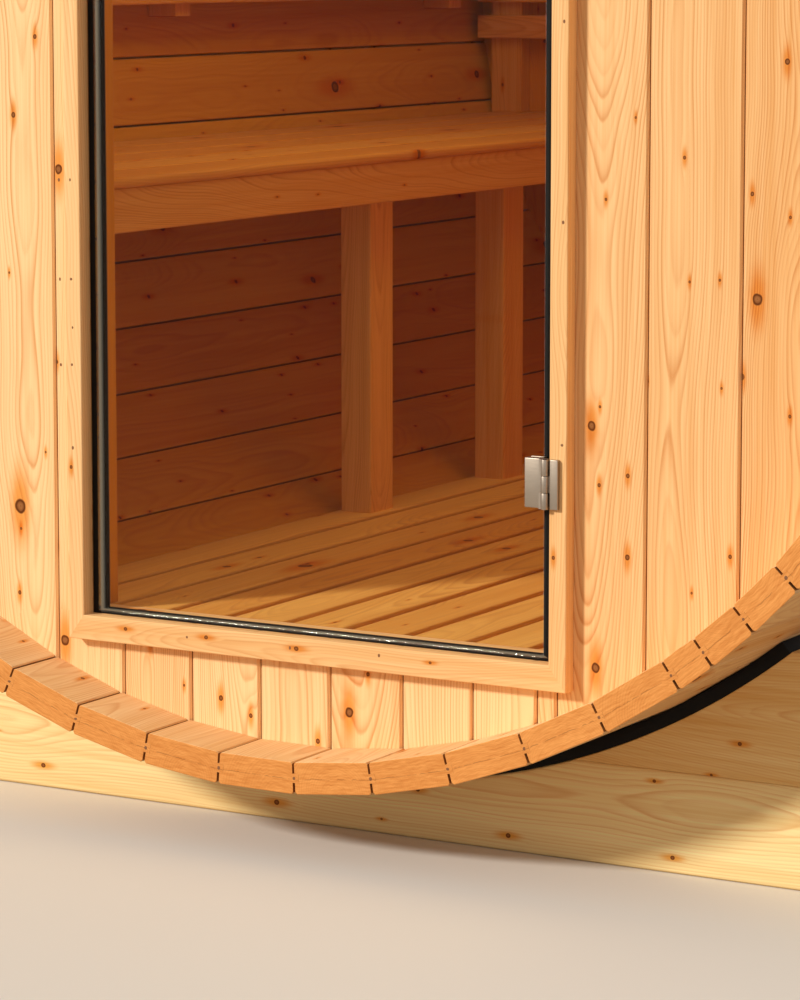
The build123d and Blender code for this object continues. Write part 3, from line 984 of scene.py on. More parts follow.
@dataclass(frozen=True)
class RubberFinish(Finish):
    """Matt black rubber with a fine bloom, and a grey painted highlight where a lip share is stored."""

    roughness: float

    def wire(self, bench: NodeBench, shader: Node) -> None:
        """Wires bloom, the lip's painted highlight and relief.

        Args:
            bench: the material's tree.
            shader: its shader.
        """
        bloom = bench.noise(bench.place(), (90.0, 90.0, 90.0), 4.0, 0.65)
        colour = bench.mix(bloom, (0.004, 0.004, 0.004), (0.014, 0.013, 0.012))
        # Painted highlight: the seal's lip is laid grey, for the light caught along its edge behind the glass.
        colour = bench.mix(bench.attribute("lip"), colour, (0.20, 0.175, 0.135))
        bench.feed(shader.inputs["Base Color"], colour)
        bench.feed(shader.inputs["Roughness"], bench.plus(bench.spread(bloom, -0.12, 0.12), self.roughness))
        shader.inputs["Specular IOR Level"].default_value = 0.12
        bench.bump(shader, bloom, 0.2, 0.0004)


@dataclass(frozen=True)
class PaneFinish(Finish):
    """Clear toughened glass that lets the lamps through."""

    def wire(self, bench: NodeBench, shader: Node) -> None:
        """Wires a clear shader under a faint gloss.

        Args:
            bench: the material's tree.
            shader: its shader.
        """
        bench.tree.nodes.remove(shader)
        haze = bench.noise(bench.place(), (1.6, 1.6, 1.3), 3.0)
        tint = bench.mix(haze, (0.975, 0.985, 0.975), (0.99, 0.995, 0.99))
        clear = bench.call("ShaderNodeBsdfTransparent", {"Color": tint})
        gloss = bench.call("ShaderNodeBsdfGlossy", {
            "Color": (0.95, 0.97, 0.96, 1.0), "Roughness": bench.spread(haze, 0.0, 0.03),
        })
        both = bench.node("ShaderNodeMixShader")
        bench.feed(both.inputs[0], bench.times(bench.call("ShaderNodeFresnel", {"IOR": 1.33}), 0.22))
        bench.feed(both.inputs[1], clear)
        bench.feed(both.inputs[2], gloss)
        bench.feed(bench.tree.nodes["Material Output"].inputs["Surface"], both.outputs[0])


@dataclass(frozen=True)
class GritFinish(Finish):
    """A fine grit of two colours: the ground edge of glass, or the filler over a sunk nail."""

    dark: Colour
    light: Colour
    rough: Pair
    grit: Colour
    detail: float
    coarse: float
    specular: float

    def wire(self, bench: NodeBench, shader: Node) -> None:
        """Wires the grit.

        Args:
            bench: the material's tree.
            shader: its shader.
        """
        grit = bench.noise(bench.place(), self.grit, self.detail, self.coarse)
        bench.feed(shader.inputs["Base Color"], bench.mix(grit, self.dark, self.light))
        bench.feed(shader.inputs["Roughness"], bench.spread(grit, *self.rough))
        shader.inputs["Specular IOR Level"].default_value = self.specular


class Woods(Enum):
    """The woods of the cabin, from the sunlit walls to the dim room."""

    STAVES = WoodFinish(
        "stave_wood", Slot.STAVE, linear(245, 210, 158), linear(210, 142, 80), linear(236, 164, 92),
        knots=0.24, pins=0.34, contrast=0.50, tone=0.40,
    )
    WALLS = WoodFinish(
        "wall_wood", Slot.WALL_BOARD, linear(251, 208, 150), linear(208, 130, 60), linear(226, 158, 90),
        knots=0.40, pins=0.52, contrast=0.62, tone=0.52,
    )
    TRIM = WoodFinish(
        "trim_wood", Slot.TRIM_BOARD, linear(252, 211, 153), linear(214, 140, 72), linear(222, 152, 84),
        knots=0.05, pins=0.16, contrast=0.42, tone=0.24,
    )
    ROOM = WoodFinish(
        "room_wood", Slot.ROOM_BOARD, linear(252, 206, 130), linear(208, 134, 62), linear(218, 146, 78),
        knots=0.14, pins=0.24, contrast=0.75, tone=0.40, roughness=0.46, room_shade=0.56,
    )
    CRADLES = WoodFinish(
        "cradle_wood", Slot.CRADLE_BOARD, linear(255, 232, 168), linear(222, 150, 76), linear(228, 162, 94),
        knots=0.22, pins=0.30, contrast=0.40, tone=0.40,
    )


HINGE_STEEL = SteelFinish("hinge_steel_satin", Slot.HINGE_STEEL, linear(172, 158, 143), 0.40)
BAND_STEEL = SteelFinish("band_steel_satin", Slot.BAND_STEEL, linear(190, 190, 190), 0.34, (900.0, 30.0, 900.0))
SEAL_RUBBER = RubberFinish("seal_rubber_black", Slot.SEAL_RUBBER, 0.62)
PAD_RUBBER = RubberFinish("pad_rubber_black", Slot.PAD_RUBBER, 0.75)
PANE = PaneFinish("clear_pane", Slot.DOOR_GLASS)
GLASS_EDGE = GritFinish(
    "ground_glass_edge", Slot.DOOR_GLASS, (0.62, 0.62, 0.56), (0.84, 0.84, 0.78), (0.36, 0.50),
    (420.0, 420.0, 420.0), 2.0, 0.5, 0.25,
)
# The nail filler's dark colours; on the dots at the staves' joints they are painted shade.
FILLER_AND_JOINT_SHADE = GritFinish(
    "nail_filler_and_joint_shade", Slot.TRIM_BOARD, (0.10, 0.035, 0.010), (0.36, 0.15, 0.05), (0.55, 0.85),
    (1400.0, 1400.0, 900.0), 3.0, 0.6, 0.5,
)


def bake(carrier: Object, tree: Tree, values: dict[str, object]) -> Mesh:
    """Runs a Geometry Nodes tree on a carrier and returns its result as a plain mesh.

    Args:
        carrier: the object that the tree runs on.
        tree: the tree.
        values: its inputs by name.

    Returns:
        A new mesh.
    """
    modifier = carrier.modifiers.new("making", "NODES")
    modifier.node_group = tree
    for item in tree.interface.items_tree:
        if item.in_out == "INPUT" and item.name in values:
            modifier[item.identifier] = values[item.name]
    carrier.update_tag()
    graph = bpy.context.evaluated_depsgraph_get()
    graph.update()
    made = bpy.data.meshes.new_from_object(
        carrier.evaluated_get(graph), preserve_all_data_layers=True, depsgraph=graph,
    )
    carrier.modifiers.remove(modifier)
    return made


@dataclass
class BoardRepeater:
    """Geometry Nodes that lay copies of one board at even steps and turns about the barrel's axis."""

    barrel: Barrel
    tree: Optional[Tree] = None

    def wire(self) -> Tree:
        """Builds the tree once.

        Returns:
            The tree, with its sizes as named inputs.
        """
        if self.tree:
            return self.tree
        bench = new_tree("lay_boards", "GeometryNodeTree", (
            ("Geometry", "Geometry"), ("Board", "Object"), ("Count", "Int"), ("Start", "Vector"),
            ("Step", "Vector"), ("First Turn", "Float"), ("Turn", "Float"), ("Seed", "Int"),
            ("Finish", "Material"),
        ), (("Geometry", "Geometry"),))
        given = bench.node("NodeGroupInput").outputs
        line = bench.call("GeometryNodeMeshLine", {
            "Count": given["Count"], "Start Location": given["Start"], "Offset": given["Step"],
        }, mode="OFFSET")
        index = bench.call("GeometryNodeInputIndex", {})
        turn = bench.math("MULTIPLY_ADD", index, given["Turn"], given["First Turn"])
        turned = bench.call("FunctionNodeEulerToRotation", {
            "Euler": bench.join(0.0, bench.times(turn, -1.0), 0.0),
        })
        board = bench.node("GeometryNodeObjectInfo")
        bench.feed(board.inputs["Object"], given["Board"])
        flow = bench.call("GeometryNodeInstanceOnPoints", {
            "Points": line, "Instance": board.outputs["Geometry"], "Rotation": turned,
        })
        looks = bench.chance("FLOAT_VECTOR", (0.0, 0.0, 0.0), (1.0, 1.0, 1.0), given["Seed"])
        shift = bench.chance("FLOAT", 0.0, 40.0, bench.plus(given["Seed"], 1.0))
        flow = bench.store(flow, "INSTANCE", "FLOAT_VECTOR", "looks", looks)
        flow = bench.store(flow, "INSTANCE", "FLOAT", "shift", shift)
        flow = bench.call("GeometryNodeRealizeInstances", {"Geometry": flow})
        moved = bench.vector("ADD", bench.read("FLOAT_VECTOR", "grain"), bench.join(
            0.0, 0.0, bench.read("FLOAT", "shift"),
        ))
        flow = bench.store(flow, "POINT", "FLOAT_VECTOR", "grain", moved)
        flow = bench.store(flow, "POINT", "FLOAT_VECTOR", "board", bench.read("FLOAT_VECTOR", "looks"))
        self.tree = bench.close(flow, given["Finish"])
        return self.tree

    def lay(
        self, name: str, board: Timbers, finish: Finish, count: int, seed: int, *nodes: str,
        start: Colour = (0.0, 0.0, 0.0), step: Colour = (0.0, 0.0, 0.0), first_turn: float = 0.0,
        turn: float = 0.0, others: Optional[Timbers] = None,
    ) -> Object:
        """Lays the boards and bakes them into one plain piece.

        Args:
            name: the piece's name.
            board: the one board that is repeated, in barrel coordinates.
            finish: its finish.
            count: how many there are.
            seed: fixes which board is which.
            nodes: the solids that the piece stands for.
            start, step: place of the first one, and from each to the next.
            first_turn, turn: degrees about the axis of the first one, and from each to the next.
            others: boards of their own that join the same piece.

        Returns:
            The new object, at the origin.
        """
        single = bpy.data.objects.new(f"{name}_single", board.mesh(f"{name}_single"))
        carrier = bpy.data.objects.new(f"{name}_carrier", bpy.data.meshes.new(f"{name}_carrier"))
        for helper in (single, carrier):
            bpy.context.scene.collection.objects.link(helper)
        mesh = bake(carrier, self.wire(), {
            "Board": single, "Count": count, "Start": start, "Step": step, "First Turn": math.radians(first_turn),
            "Turn": math.radians(turn), "Seed": seed, "Finish": finish.make(),
        })
        for helper in (single, carrier):
            bpy.data.objects.remove(helper)
        if others:
            joined = bmesh.new()
            joined.from_mesh(mesh)
            joined.from_mesh(others.mesh(f"{name}_others"))
            joined.to_mesh(mesh)
            joined.free()
        mesh.transform(self.barrel.to_row())
        return dress(show(name, mesh, finish), Body.BARREL, nodes)


@dataclass
class StaveShell:
    """The round shell of tongued and grooved staves."""

    barrel: Barrel
    repeater: BoardRepeater
    easing: float = 0.0025
    inner_easing: float = 0.0018
    shoulder: float = 0.0018
    inner_shoulder: float = 0.0016
    tongue: float = 0.012
    tongue_gap: float = 0.00008
    reach: float = 0.0075
    tip_room: float = 0.0002
    end_easing: float = 0.0012
    end_room: float = 0.00015

    @property
    def tongue_foot(self) -> float:
        """Radius of the tongue's inner face."""
        return self.barrel.inner_radius + (self.barrel.stave_thickness - self.tongue) / 2

    def section(self, start: float, end: float, inner: float) -> list[Pair]:
        """A stave's outline between two angles.

        Args:
            start, end: its joints in degrees.
            inner: radius of its inner face here.

        Returns:
            Sides and heights in order round.
        """
        outer = self.barrel.radius
        low, high = self.tongue_foot, self.tongue_foot + self.tongue
        gap = self.tongue_gap
        groove = self.reach + self.tip_room
        return [self.barrel.on_round(*corner) for corner in (
            (end, outer, -self.shoulder - self.easing),
            (end, outer - self.easing, -self.shoulder),
            (end, high, -self.shoulder),
            (end, high, self.reach),
            (end, low, self.reach),
            (end, low, -self.inner_shoulder),
            (end, inner + self.inner_easing, -self.inner_shoulder),
            (end, inner, -self.inner_shoulder - self.inner_easing),
            (start, inner, self.inner_shoulder + self.inner_easing),
            (start, inner + self.inner_easing, self.inner_shoulder),
            (start, low - gap, self.inner_shoulder),
            (start, low - gap, groove),
            (start, high + gap, groove),
            (start, high + gap, self.shoulder),
            (start, outer - self.easing, self.shoulder),
            (start, outer, self.shoulder + self.easing),
        )]

    def stave(self, start: float, end: float) -> Shape:
        """One stave with the croze cut across both its ends.

        Args:
            start, end: its joints in degrees.

        Returns:
            The closed shape.
        """
        sizes = self.barrel
        inner, croze = sizes.inner_radius, sizes.inner_radius + sizes.croze_depth
        near, far = sizes.end_recess - sizes.clearance, sizes.wall_back + sizes.clearance
        levels = [(self.end_room, inner), (near, inner), (near, croze), (far, croze), (far, inner)]
        levels += [(sizes.length - depth, radius) for depth, radius in reversed(levels)]
        shape = bmesh.new()
        rings = [
            [shape.verts.new((side, depth, height)) for side, height in self.section(start, end, radius)]
            for depth, radius in levels
        ]
        skin(shape, rings)
        for ring in (rings[0], rings[-1]):
            shape.faces.new(ring)
        bmesh.ops.remove_doubles(shape, verts=shape.verts, dist=1e-6)
        bmesh.ops.recalc_face_normals(shape, faces=shape.faces)
        first, last = self.end_room + 1e-5, sizes.length - self.end_room - 1e-5
        ends = []
        for edge in shape.edges:
            at_end = all(v.co.y < first for v in edge.verts) or all(v.co.y > last for v in edge.verts)
            radii = [math.hypot(v.co.x, v.co.z) for v in edge.verts]
            within = max(radii) < self.tongue_foot - 0.0005
            if at_end and (within or min(radii) > self.tongue_foot + self.tongue + 0.0005):
                ends.append(edge)
        bevel(shape, ends, self.end_easing, 2)
        return shape

    def build(self) -> Object:
        """Makes the shell: the regular staves by the repeater and the fitted ones by hand."""
        sizes = self.barrel
        middle_radius = sizes.radius - sizes.stave_thickness / 2
        half = sizes.stave_angle / 2
        single = Timbers(sizes, seed=11, joint_shaded=True)
        single.lay(self.stave(-half, half), Way.DEPTH, Way.HEIGHT, (0.0, 0.0, -middle_radius), Character())
        fitted = Timbers(sizes, seed=12, joint_shaded=True)
        spans = sizes.spans()
        fitted_count = len(sizes.fitted_widths)
        for start, end in spans[:fitted_count]:
            middle = (start + end) / 2
            side, height = sizes.on_round(middle, middle_radius)
            outward = Vector((*sizes.on_round(middle, 1.0), 0.0)).xzy
            fitted.lay(self.stave(start, end), Way.DEPTH, outward, (side, 0.0, height))
        return self.repeater.lay(
            "stave_shell", single, Woods.STAVES.value, sizes.stave_count, 7,
            *(f"stave_segment_{index}" for index in range(1, 9)),
            first_turn=spans[fitted_count][0] + half, turn=sizes.stave_angle, others=fitted,
        )


@dataclass
class EndWalls:
    """The upright boards of the front wall and the back wall."""

    barrel: Barrel
    door_left: float = -0.330
    door_half_height: float = 0.836
    left_seams: tuple[float, ...] = (-0.9927, -0.896, -0.769, -0.642, -0.515, -0.388)
    door_seams: tuple[float, ...] = (-0.388, -0.280, -0.1715, -0.0635, 0.0445, 0.1535, 0.257, 0.350, 0.3785)
    right_seams: tuple[float, ...] = (0.3785, 0.5023, 0.6293, 0.7563, 0.8833, 0.9927)
    left_tones: tuple[float, ...] = (0.62, 0.80, 0.71, 0.93, 0.86)
    right_tones: tuple[float, ...] = (0.42, 0.34, 0.09, 0.30, 0.50)
    left_moves: tuple[float, ...] = (0.0, 0.0, 0.0, 0.0, 0.59)
    right_moves: tuple[float, ...] = (0.45, 0.0, 0.0, 0.0, 0.0)
    back_board: float = 0.127
    vee_width: float = 0.0074
    vee_depth: float = 0.0034
    slot_width: float = 0.0015
    slot_depth: float = 0.0024
    joint_gap: float = 0.0004
    tongue: float = 0.012
    reach: float = 0.0075
    groove_slack: float = 0.0004
    groove_room: float = 0.001
    facet: float = 0.012

    def round_height(self, side: float) -> float:
        """Height of the wall's round edge at a side."""
        return math.sqrt(max(self.barrel.wall_radius ** 2 - side ** 2, 0.0))

    def round_foot(self, side: float) -> float:
        """Height of the wall's lower round edge at a side."""
        return -self.round_height(side)

    def profile(
        self, left: float, right: float, near: float, far: float, both: bool, tongued: bool, grooved: bool,
    ) -> list[Pair]:
        """A board's outline in plan.

        Args:
            left, right: its joints.
            near, far: depths of its faces.
            both: whether the far face has the vees too.
            tongued: whether its right edge has a tongue.
            grooved: whether its left edge has a groove.

        Returns:
            Sides and depths in order round.
        """
        vee, gap, half, slot = self.vee_width / 2, self.joint_gap / 2, self.tongue / 2, self.slot_width / 2
        middle = (near + far) / 2
        steps = max(2, round((right - left) / self.facet))
        inset = vee if both else gap
        shares = [step / steps for step in range(steps + 1)]
        bottom = near + self.vee_depth + self.slot_depth
        points = [(left + vee + (right - left - 2 * vee) * share, near) for share in shares]
        points += [(right - slot, near + self.vee_depth), (right - slot, bottom), (right - gap, bottom)]
        if tongued:
            tip = right + self.reach
            points += [
                (right - gap, middle - half), (tip, middle - half), (tip, middle + half),
                (right - gap, middle + half),
            ]
        if both:
            points.append((right - gap, far - self.vee_depth))
        points += [(right - inset - (right - left - 2 * inset) * share, far) for share in shares]
        if both:
            points.append((left + gap, far - self.vee_depth))
        if grooved:
            inner, wide = left + self.reach + self.groove_room, half + self.groove_slack
            points += [
                (left + gap, middle + wide), (inner, middle + wide), (inner, middle - wide),
                (left + gap, middle - wide),
            ]
        return points + [(left + gap, bottom), (left + slot, bottom), (left + slot, near + self.vee_depth)]

    def board(
        self, timbers: Timbers, outline: Outline, low: Callable[[float], float], high: Callable[[float], float],
        looks: Character,
    ) -> None:
        """Lays one upright board whose ends follow the round or stop at the opening.

        Args:
            timbers: where it is laid.
            outline: its outline in plan.
            low, high: heights of its ends at a side.
            looks: its character.
        """
        shape = bmesh.new()
        feet, heads = [
            [shape.verts.new((side, depth, level(side))) for side, depth in outline] for level in (low, high)
        ]
        for index in range(len(outline)):
            after = (index + 1) % len(outline)
            shape.faces.new((feet[index], feet[after], heads[after], heads[index]))
        for ring in (feet, heads):
            bmesh.ops.triangulate(shape, faces=[shape.faces.new(ring)])
        bmesh.ops.remove_doubles(shape, verts=shape.verts, dist=1e-7)
        bmesh.ops.recalc_face_normals(shape, faces=shape.faces)
        middle = [(min(places) + max(places)) / 2 for places in zip(*outline)]
        timbers.lay(shape, Way.HEIGHT, Way.DEPTH, (*middle, 0.0), looks)

    def front(self) -> Object:
        """Makes the front wall round the door's opening."""
        sizes = self.barrel
        near, far = sizes.end_recess, sizes.wall_back
        timbers = Timbers(sizes, seed=23, joint_shaded=True)
        for seams, tones, moves in (
            (self.left_seams, self.left_tones, self.left_moves),
            (self.right_seams, self.right_tones, self.right_moves),
        ):
            for left, right, tone, move in zip(seams, seams[1:], tones, moves):
                looks = timbers.character()
                outline = self.profile(
                    left, right, near, far, False, right < sizes.wall_radius - 0.001, left != seams[0],
                )
                looks = replace(looks, tone=tone, shift=looks.shift + move)
                self.board(timbers, outline, self.round_foot, self.round_height, looks)

        def pale() -> Character:
            """The next board, but never a dark one."""
            picked = timbers.character()
            return replace(picked, tone=0.55 + 0.45 * picked.tone)

        notched = self.door_seams[0]
        for left, right in zip(self.door_seams, self.door_seams[1:]):
            outline = self.profile(left, right, near, far, False, right != self.door_seams[-1], True)
            looks = pale()
            self.board(timbers, outline, self.round_foot, lambda side: -self.door_half_height, looks)
            above = looks if left == notched else pale()
            self.board(timbers, outline, lambda side: self.door_half_height, self.round_height, above)
            if left == notched:
                self.jamb(timbers, looks)
        return timbers.piece(
            "front_wall_boards", Woods.WALLS.value, "front_wall_left", "front_wall_right",
            "front_wall_below_door", "front_wall_above_door",
        )

    def jamb(self, timbers: Timbers, looks: Character) -> None:
        """Lays the part of the notched board that runs up beside the door.

        Args:
            timbers: where it is laid.
            looks: the looks of the board it is part of.
        """
        near, far = self.barrel.end_recess, self.barrel.wall_back
        left, right = self.door_seams[:2]
        outline = [
            (self.door_left, depth) if side > self.door_left - 0.004 else (side, depth)
            for side, depth in self.profile(left, self.door_left, near, far, False, False, True)
        ]
        outline = [place for index, place in enumerate(outline) if place != outline[index - 1]]
        shape = prism(outline, Way.HEIGHT, -self.door_half_height, self.door_half_height)
        timbers.lay(shape, Way.HEIGHT, Way.DEPTH, ((left + right) / 2, (near + far) / 2, 0.0), looks)

    def back(self) -> Object:
        """Makes the back wall, with vees on both faces."""
        sizes = self.barrel
        near, far = sizes.length - sizes.wall_back, sizes.length - sizes.end_recess
        timbers = Timbers(sizes, seed=29, joint_shaded=True)
        seams = [self.back_board * (step + 0.5) for step in range(-8, 8)]
        seams = [-sizes.wall_radius, *seams, sizes.wall_radius]
        for left, right in zip(seams, seams[1:]):
            outline = self.profile(left, right, near, far, True, right < seams[-1], left > seams[0])
            self.board(timbers, outline, self.round_foot, self.round_height, timbers.character())
        return timbers.piece("back_wall_boards", Woods.WALLS.value, "back_wall")


@dataclass
class DoorFrame:
    """Casing, lining, sill and seal round the door's opening."""

    barrel: Barrel
    left: float = -0.330
    right: float = 0.3785
    half_height: float = 0.836
    casing_thickness: float = 0.022
    casing_side: float = 0.0245
    casing_end: float = 0.0335
    lining_width: float = 0.040
    lining_thickness: float = 0.019
    sill_setback: float = 0.0103
    floor_top: float = -0.830
    seal_sides: Pair = (-0.3089, 0.3599)
    seal_half_height: float = 0.8274
    # Share of the seal's width, depth past the wall's face, and how strongly the lip's painted grey highlight shows
    # there.
    seal_profile: tuple[Colour, ...] = (
        (0.0, 0.010, 0.0), (1.0, 0.010, 0.0), (1.0, 0.0006, 0.0), (0.94, -0.0008, 0.25), (0.82, -0.0015, 0.8),
        (0.68, -0.0014, 1.0), (0.56, -0.0004, 0.7), (0.46, 0.0006, 0.0), (0.10, 0.0010, 0.0), (0.0, 0.0020, 0.0),
    )

    def casing(self) -> None:
        """Makes the four mitred casing boards."""
        near, far = self.barrel.end_recess - self.casing_thickness, self.barrel.end_recess

        def ring(side: float, end: float) -> list[Pair]:
            """The opening's corners, moved outwards."""
            left, right, high = self.left - side, self.right + side, self.half_height + end
            return [(left, -high), (right, -high), (right, high), (left, high)]

        inner, outer = ring(0.0, 0.0), ring(self.casing_side, self.casing_end)
        for index, side in enumerate(("bottom", "right", "top", "left")):
            after = (index + 1) % 4
            along = Way.HEIGHT if index % 2 else Way.SIDE
            outline = (inner[index], inner[after], outer[after], outer[index])
            timbers = Timbers(self.barrel, seed=31 + index)
            middle = [sum(places) / 4 for places in zip(*outline)]
            timbers.lay(
                ease(prism(outline, Way.DEPTH, near, far), 0.0016, 3, along), along, Way.DEPTH,
                (middle[0], (near + far) / 2, middle[1]),
            )
            timbers.piece(f"casing_{side}", Woods.TRIM.value, f"door_casing_{side}")

    def lining(self) -> None:
        """Makes the lining boards on the room's side."""
        near, gap = self.barrel.wall_back, self.barrel.clearance
        depths = (near, near + self.lining_thickness)
        top = self.half_height + self.lining_width
        timbers = Timbers(self.barrel, seed=41)
        for sides in ((self.left - self.lining_width, self.left), (self.right, self.right + self.lining_width)):
            timbers.plank(sides, depths, (self.floor_top + gap, top), Way.HEIGHT, Way.DEPTH, 0.0016)
        timbers.plank(
            (self.left + gap, self.right - gap), depths, (self.half_height, top), Way.SIDE, Way.DEPTH, 0.0016,
        )
        timbers.piece("opening_lining", Woods.TRIM.value, "door_lining")

    def sill(self) -> None:
        """Makes the strip in the bottom of the opening."""
        gap = self.barrel.clearance
        timbers = Timbers(self.barrel, seed=43)
        timbers.plank(
            (self.left + gap, self.right - gap),
            (self.barrel.end_recess + self.sill_setback, self.barrel.wall_back),
            (-self.half_height, self.floor_top), Way.SIDE, Way.HEIGHT, 0.0012,
        )
        timbers.piece("opening_sill", Woods.TRIM.value, "door_sill")

    def seal(self) -> None:
        """Makes the rubber seal: a flat foot in the opening and a soft lip towards the glass."""
        near, high = self.barrel.end_recess, self.half_height
        end_width = high - self.seal_half_height
        shape = bmesh.new()
        rings = []
        for inward, upward in ((1, 1), (-1, 1), (-1, -1), (1, -1)):
            side, inner = (self.left, self.seal_sides[0]) if inward > 0 else (self.right, self.seal_sides[1])
            rings.append([
                shape.verts.new((
                    side + inward * share * abs(inner - side), near + past, upward * (share * end_width - high),
                ))
                for share, past, _ in self.seal_profile
            ])
        gathered = Gathered(self.barrel)
        gathered.add(skin(shape, rings, closed=True))
        piece = gathered.piece("opening_seal", SEAL_RUBBER, "door_seal", smooth=40.0)
        # The lip's painted highlight is stored on every side but the hinged one.
        around, hinged_side = len(self.seal_profile), 1
        lip_highlights = []
        for face in piece.data.polygons:
            shows = face.index // around != hinged_side
            lip_highlights += [shows * self.seal_profile[vertex % around][2] for vertex in face.vertices]
        piece.data.attributes.new("lip", "FLOAT", "CORNER").data.foreach_set("value", lip_highlights)


@dataclass
class SunkNails:
    """Filled nail holes in the casing and in the board beside it, and dark dots of painted shade at the staves'
    joints, laid by Geometry Nodes.
    """

    barrel: Barrel
    proud: float = 0.00012
    end_room: float = 0.00015
    nail_radius: float = 0.0018
    shade_dot_radius: float = 0.0022
    casing_depth: float = 0.076
    wall_depth: float = 0.098
    casing_places: tuple[Pair, ...] = (
        (-0.3449, -0.2495), (-0.3449, -0.3822), (-0.3433, -0.4471), (-0.3449, -0.4972), (-0.3449, -0.6096),
        (-0.1636, -0.8508), (-0.0027, -0.8498), (0.1322, -0.8469), (0.3964, -0.0320), (0.3964, -0.2787),
        (-0.3449, 0.0120), (-0.3442, 0.3020), (-0.3449, 0.6110), (0.3964, 0.2480), (0.3964, 0.6120),
        (-0.1580, 0.8520), (0.0060, 0.8512), (0.1720, 0.8525), (0.3964, -0.5560),
    )
    wall_places: tuple[Pair, ...] = (
        (-0.3786, -0.2518), (-0.3786, -0.3854), (-0.3786, -0.5013), (-0.3786, 0.2100), (-0.3786, 0.5600),
    )

    def wire(self) -> Tree:
        """Builds the tree that sets a filled hole or a dark dot of painted shade on every point, each turned and sized
        by chance.

        Returns:
            The tree, with its sizes as named inputs.
        """
        bench = new_tree("set_nails", "GeometryNodeTree", (
            ("Geometry", "Geometry"), ("Radius", "Float"), ("Depth", "Float"), ("Least", "Vector"),
            ("Most", "Vector"), ("Seed", "Int"), ("Finish", "Material"),
        ), (("Geometry", "Geometry"),))
        given = bench.node("NodeGroupInput").outputs
        head = bench.call("GeometryNodeMeshCone", {
            "Vertices": 14, "Radius Bottom": given["Radius"], "Radius Top": bench.times(given["Radius"], 0.8),
            "Depth": given["Depth"],
        }, fill_type="TRIANGLE_FAN")
        turned = bench.call(
            "FunctionNodeAlignRotationToVector", {"Vector": bench.read("FLOAT_VECTOR", "facing")}, axis="Z",
        )
        heads = bench.call("GeometryNodeInstanceOnPoints", {
            "Points": given["Geometry"], "Instance": head, "Rotation": turned,
            "Scale": bench.chance("FLOAT_VECTOR", given["Least"], given["Most"], given["Seed"]),
        })
        return bench.close(bench.call("GeometryNodeRealizeInstances", {"Geometry": heads}), given["Finish"])

    def set(
        self, name: str, places: Sequence[tuple[Colour, Colour]], radius: float, least: Colour, most: Colour,
        slot: Slot,
    ) -> None:
        """Sets filled holes, or dark dots of painted shade, on places as one piece.

        Args:
            name: the piece's name.
            places: where each is, in barrel coordinates, and which way it faces.
            radius: radius of a hole at its plain size.
            least, most: least and greatest stretch of one.
            slot: the slot of the board that they are in; not used.
        """
        points = bpy.data.meshes.new(f"{name}_places")
        points.from_pydata([place for place, _ in places], [], [])
        points.attributes.new("facing", "FLOAT_VECTOR", "POINT").data.foreach_set(
            "vector", [part for _, facing in places for part in facing],
        )
        carrier = bpy.data.objects.new(f"{name}_places", points)
        bpy.context.scene.collection.objects.link(carrier)
        mesh = bake(carrier, self.wire(), {
            "Radius": radius, "Depth": self.proud, "Least": least, "Most": most, "Seed": 5,
            "Finish": FILLER_AND_JOINT_SHADE.make(),
        })
        bpy.data.objects.remove(carrier)
        mesh.transform(self.barrel.to_row())
        dress(show(name, mesh, FILLER_AND_JOINT_SHADE), Body.BARREL, ())

    def build(self) -> None:
        """Sets the nails of the casing and wall, and at each joint of the staves' ends a dark dot of painted shade for
        the small hollow there.
        """
        sizes = self.barrel
        front, back = (0.0, -1.0, 0.0), (0.0, 1.0, 0.0)
        nails = [((side, self.casing_depth, height), front) for side, height in self.casing_places]
        nails += [((side, self.wall_depth, height), front) for side, height in self.wall_places]
        self.set("sunk_nails", nails, self.nail_radius, (0.7, 0.9, 1.0), (1.1, 1.4, 1.0), Slot.TRIM_BOARD)
        # Painted shade: a dark dot on each stave end at its joint, where the small hollow would lie in shade.
        shade_dots = []
        for _, angle in sizes.spans():
            side, height = sizes.on_round(angle, sizes.radius - sizes.stave_thickness / 2, 0.0006)
            shade_dots.append(((side, self.end_room, height), front))
            shade_dots.append(((side, sizes.length - self.end_room, height), back))
        self.set("joint_hollows", shade_dots, self.shade_dot_radius, (0.8, 0.7, 1.0), (1.15, 1.2, 1.0), Slot.STAVE)


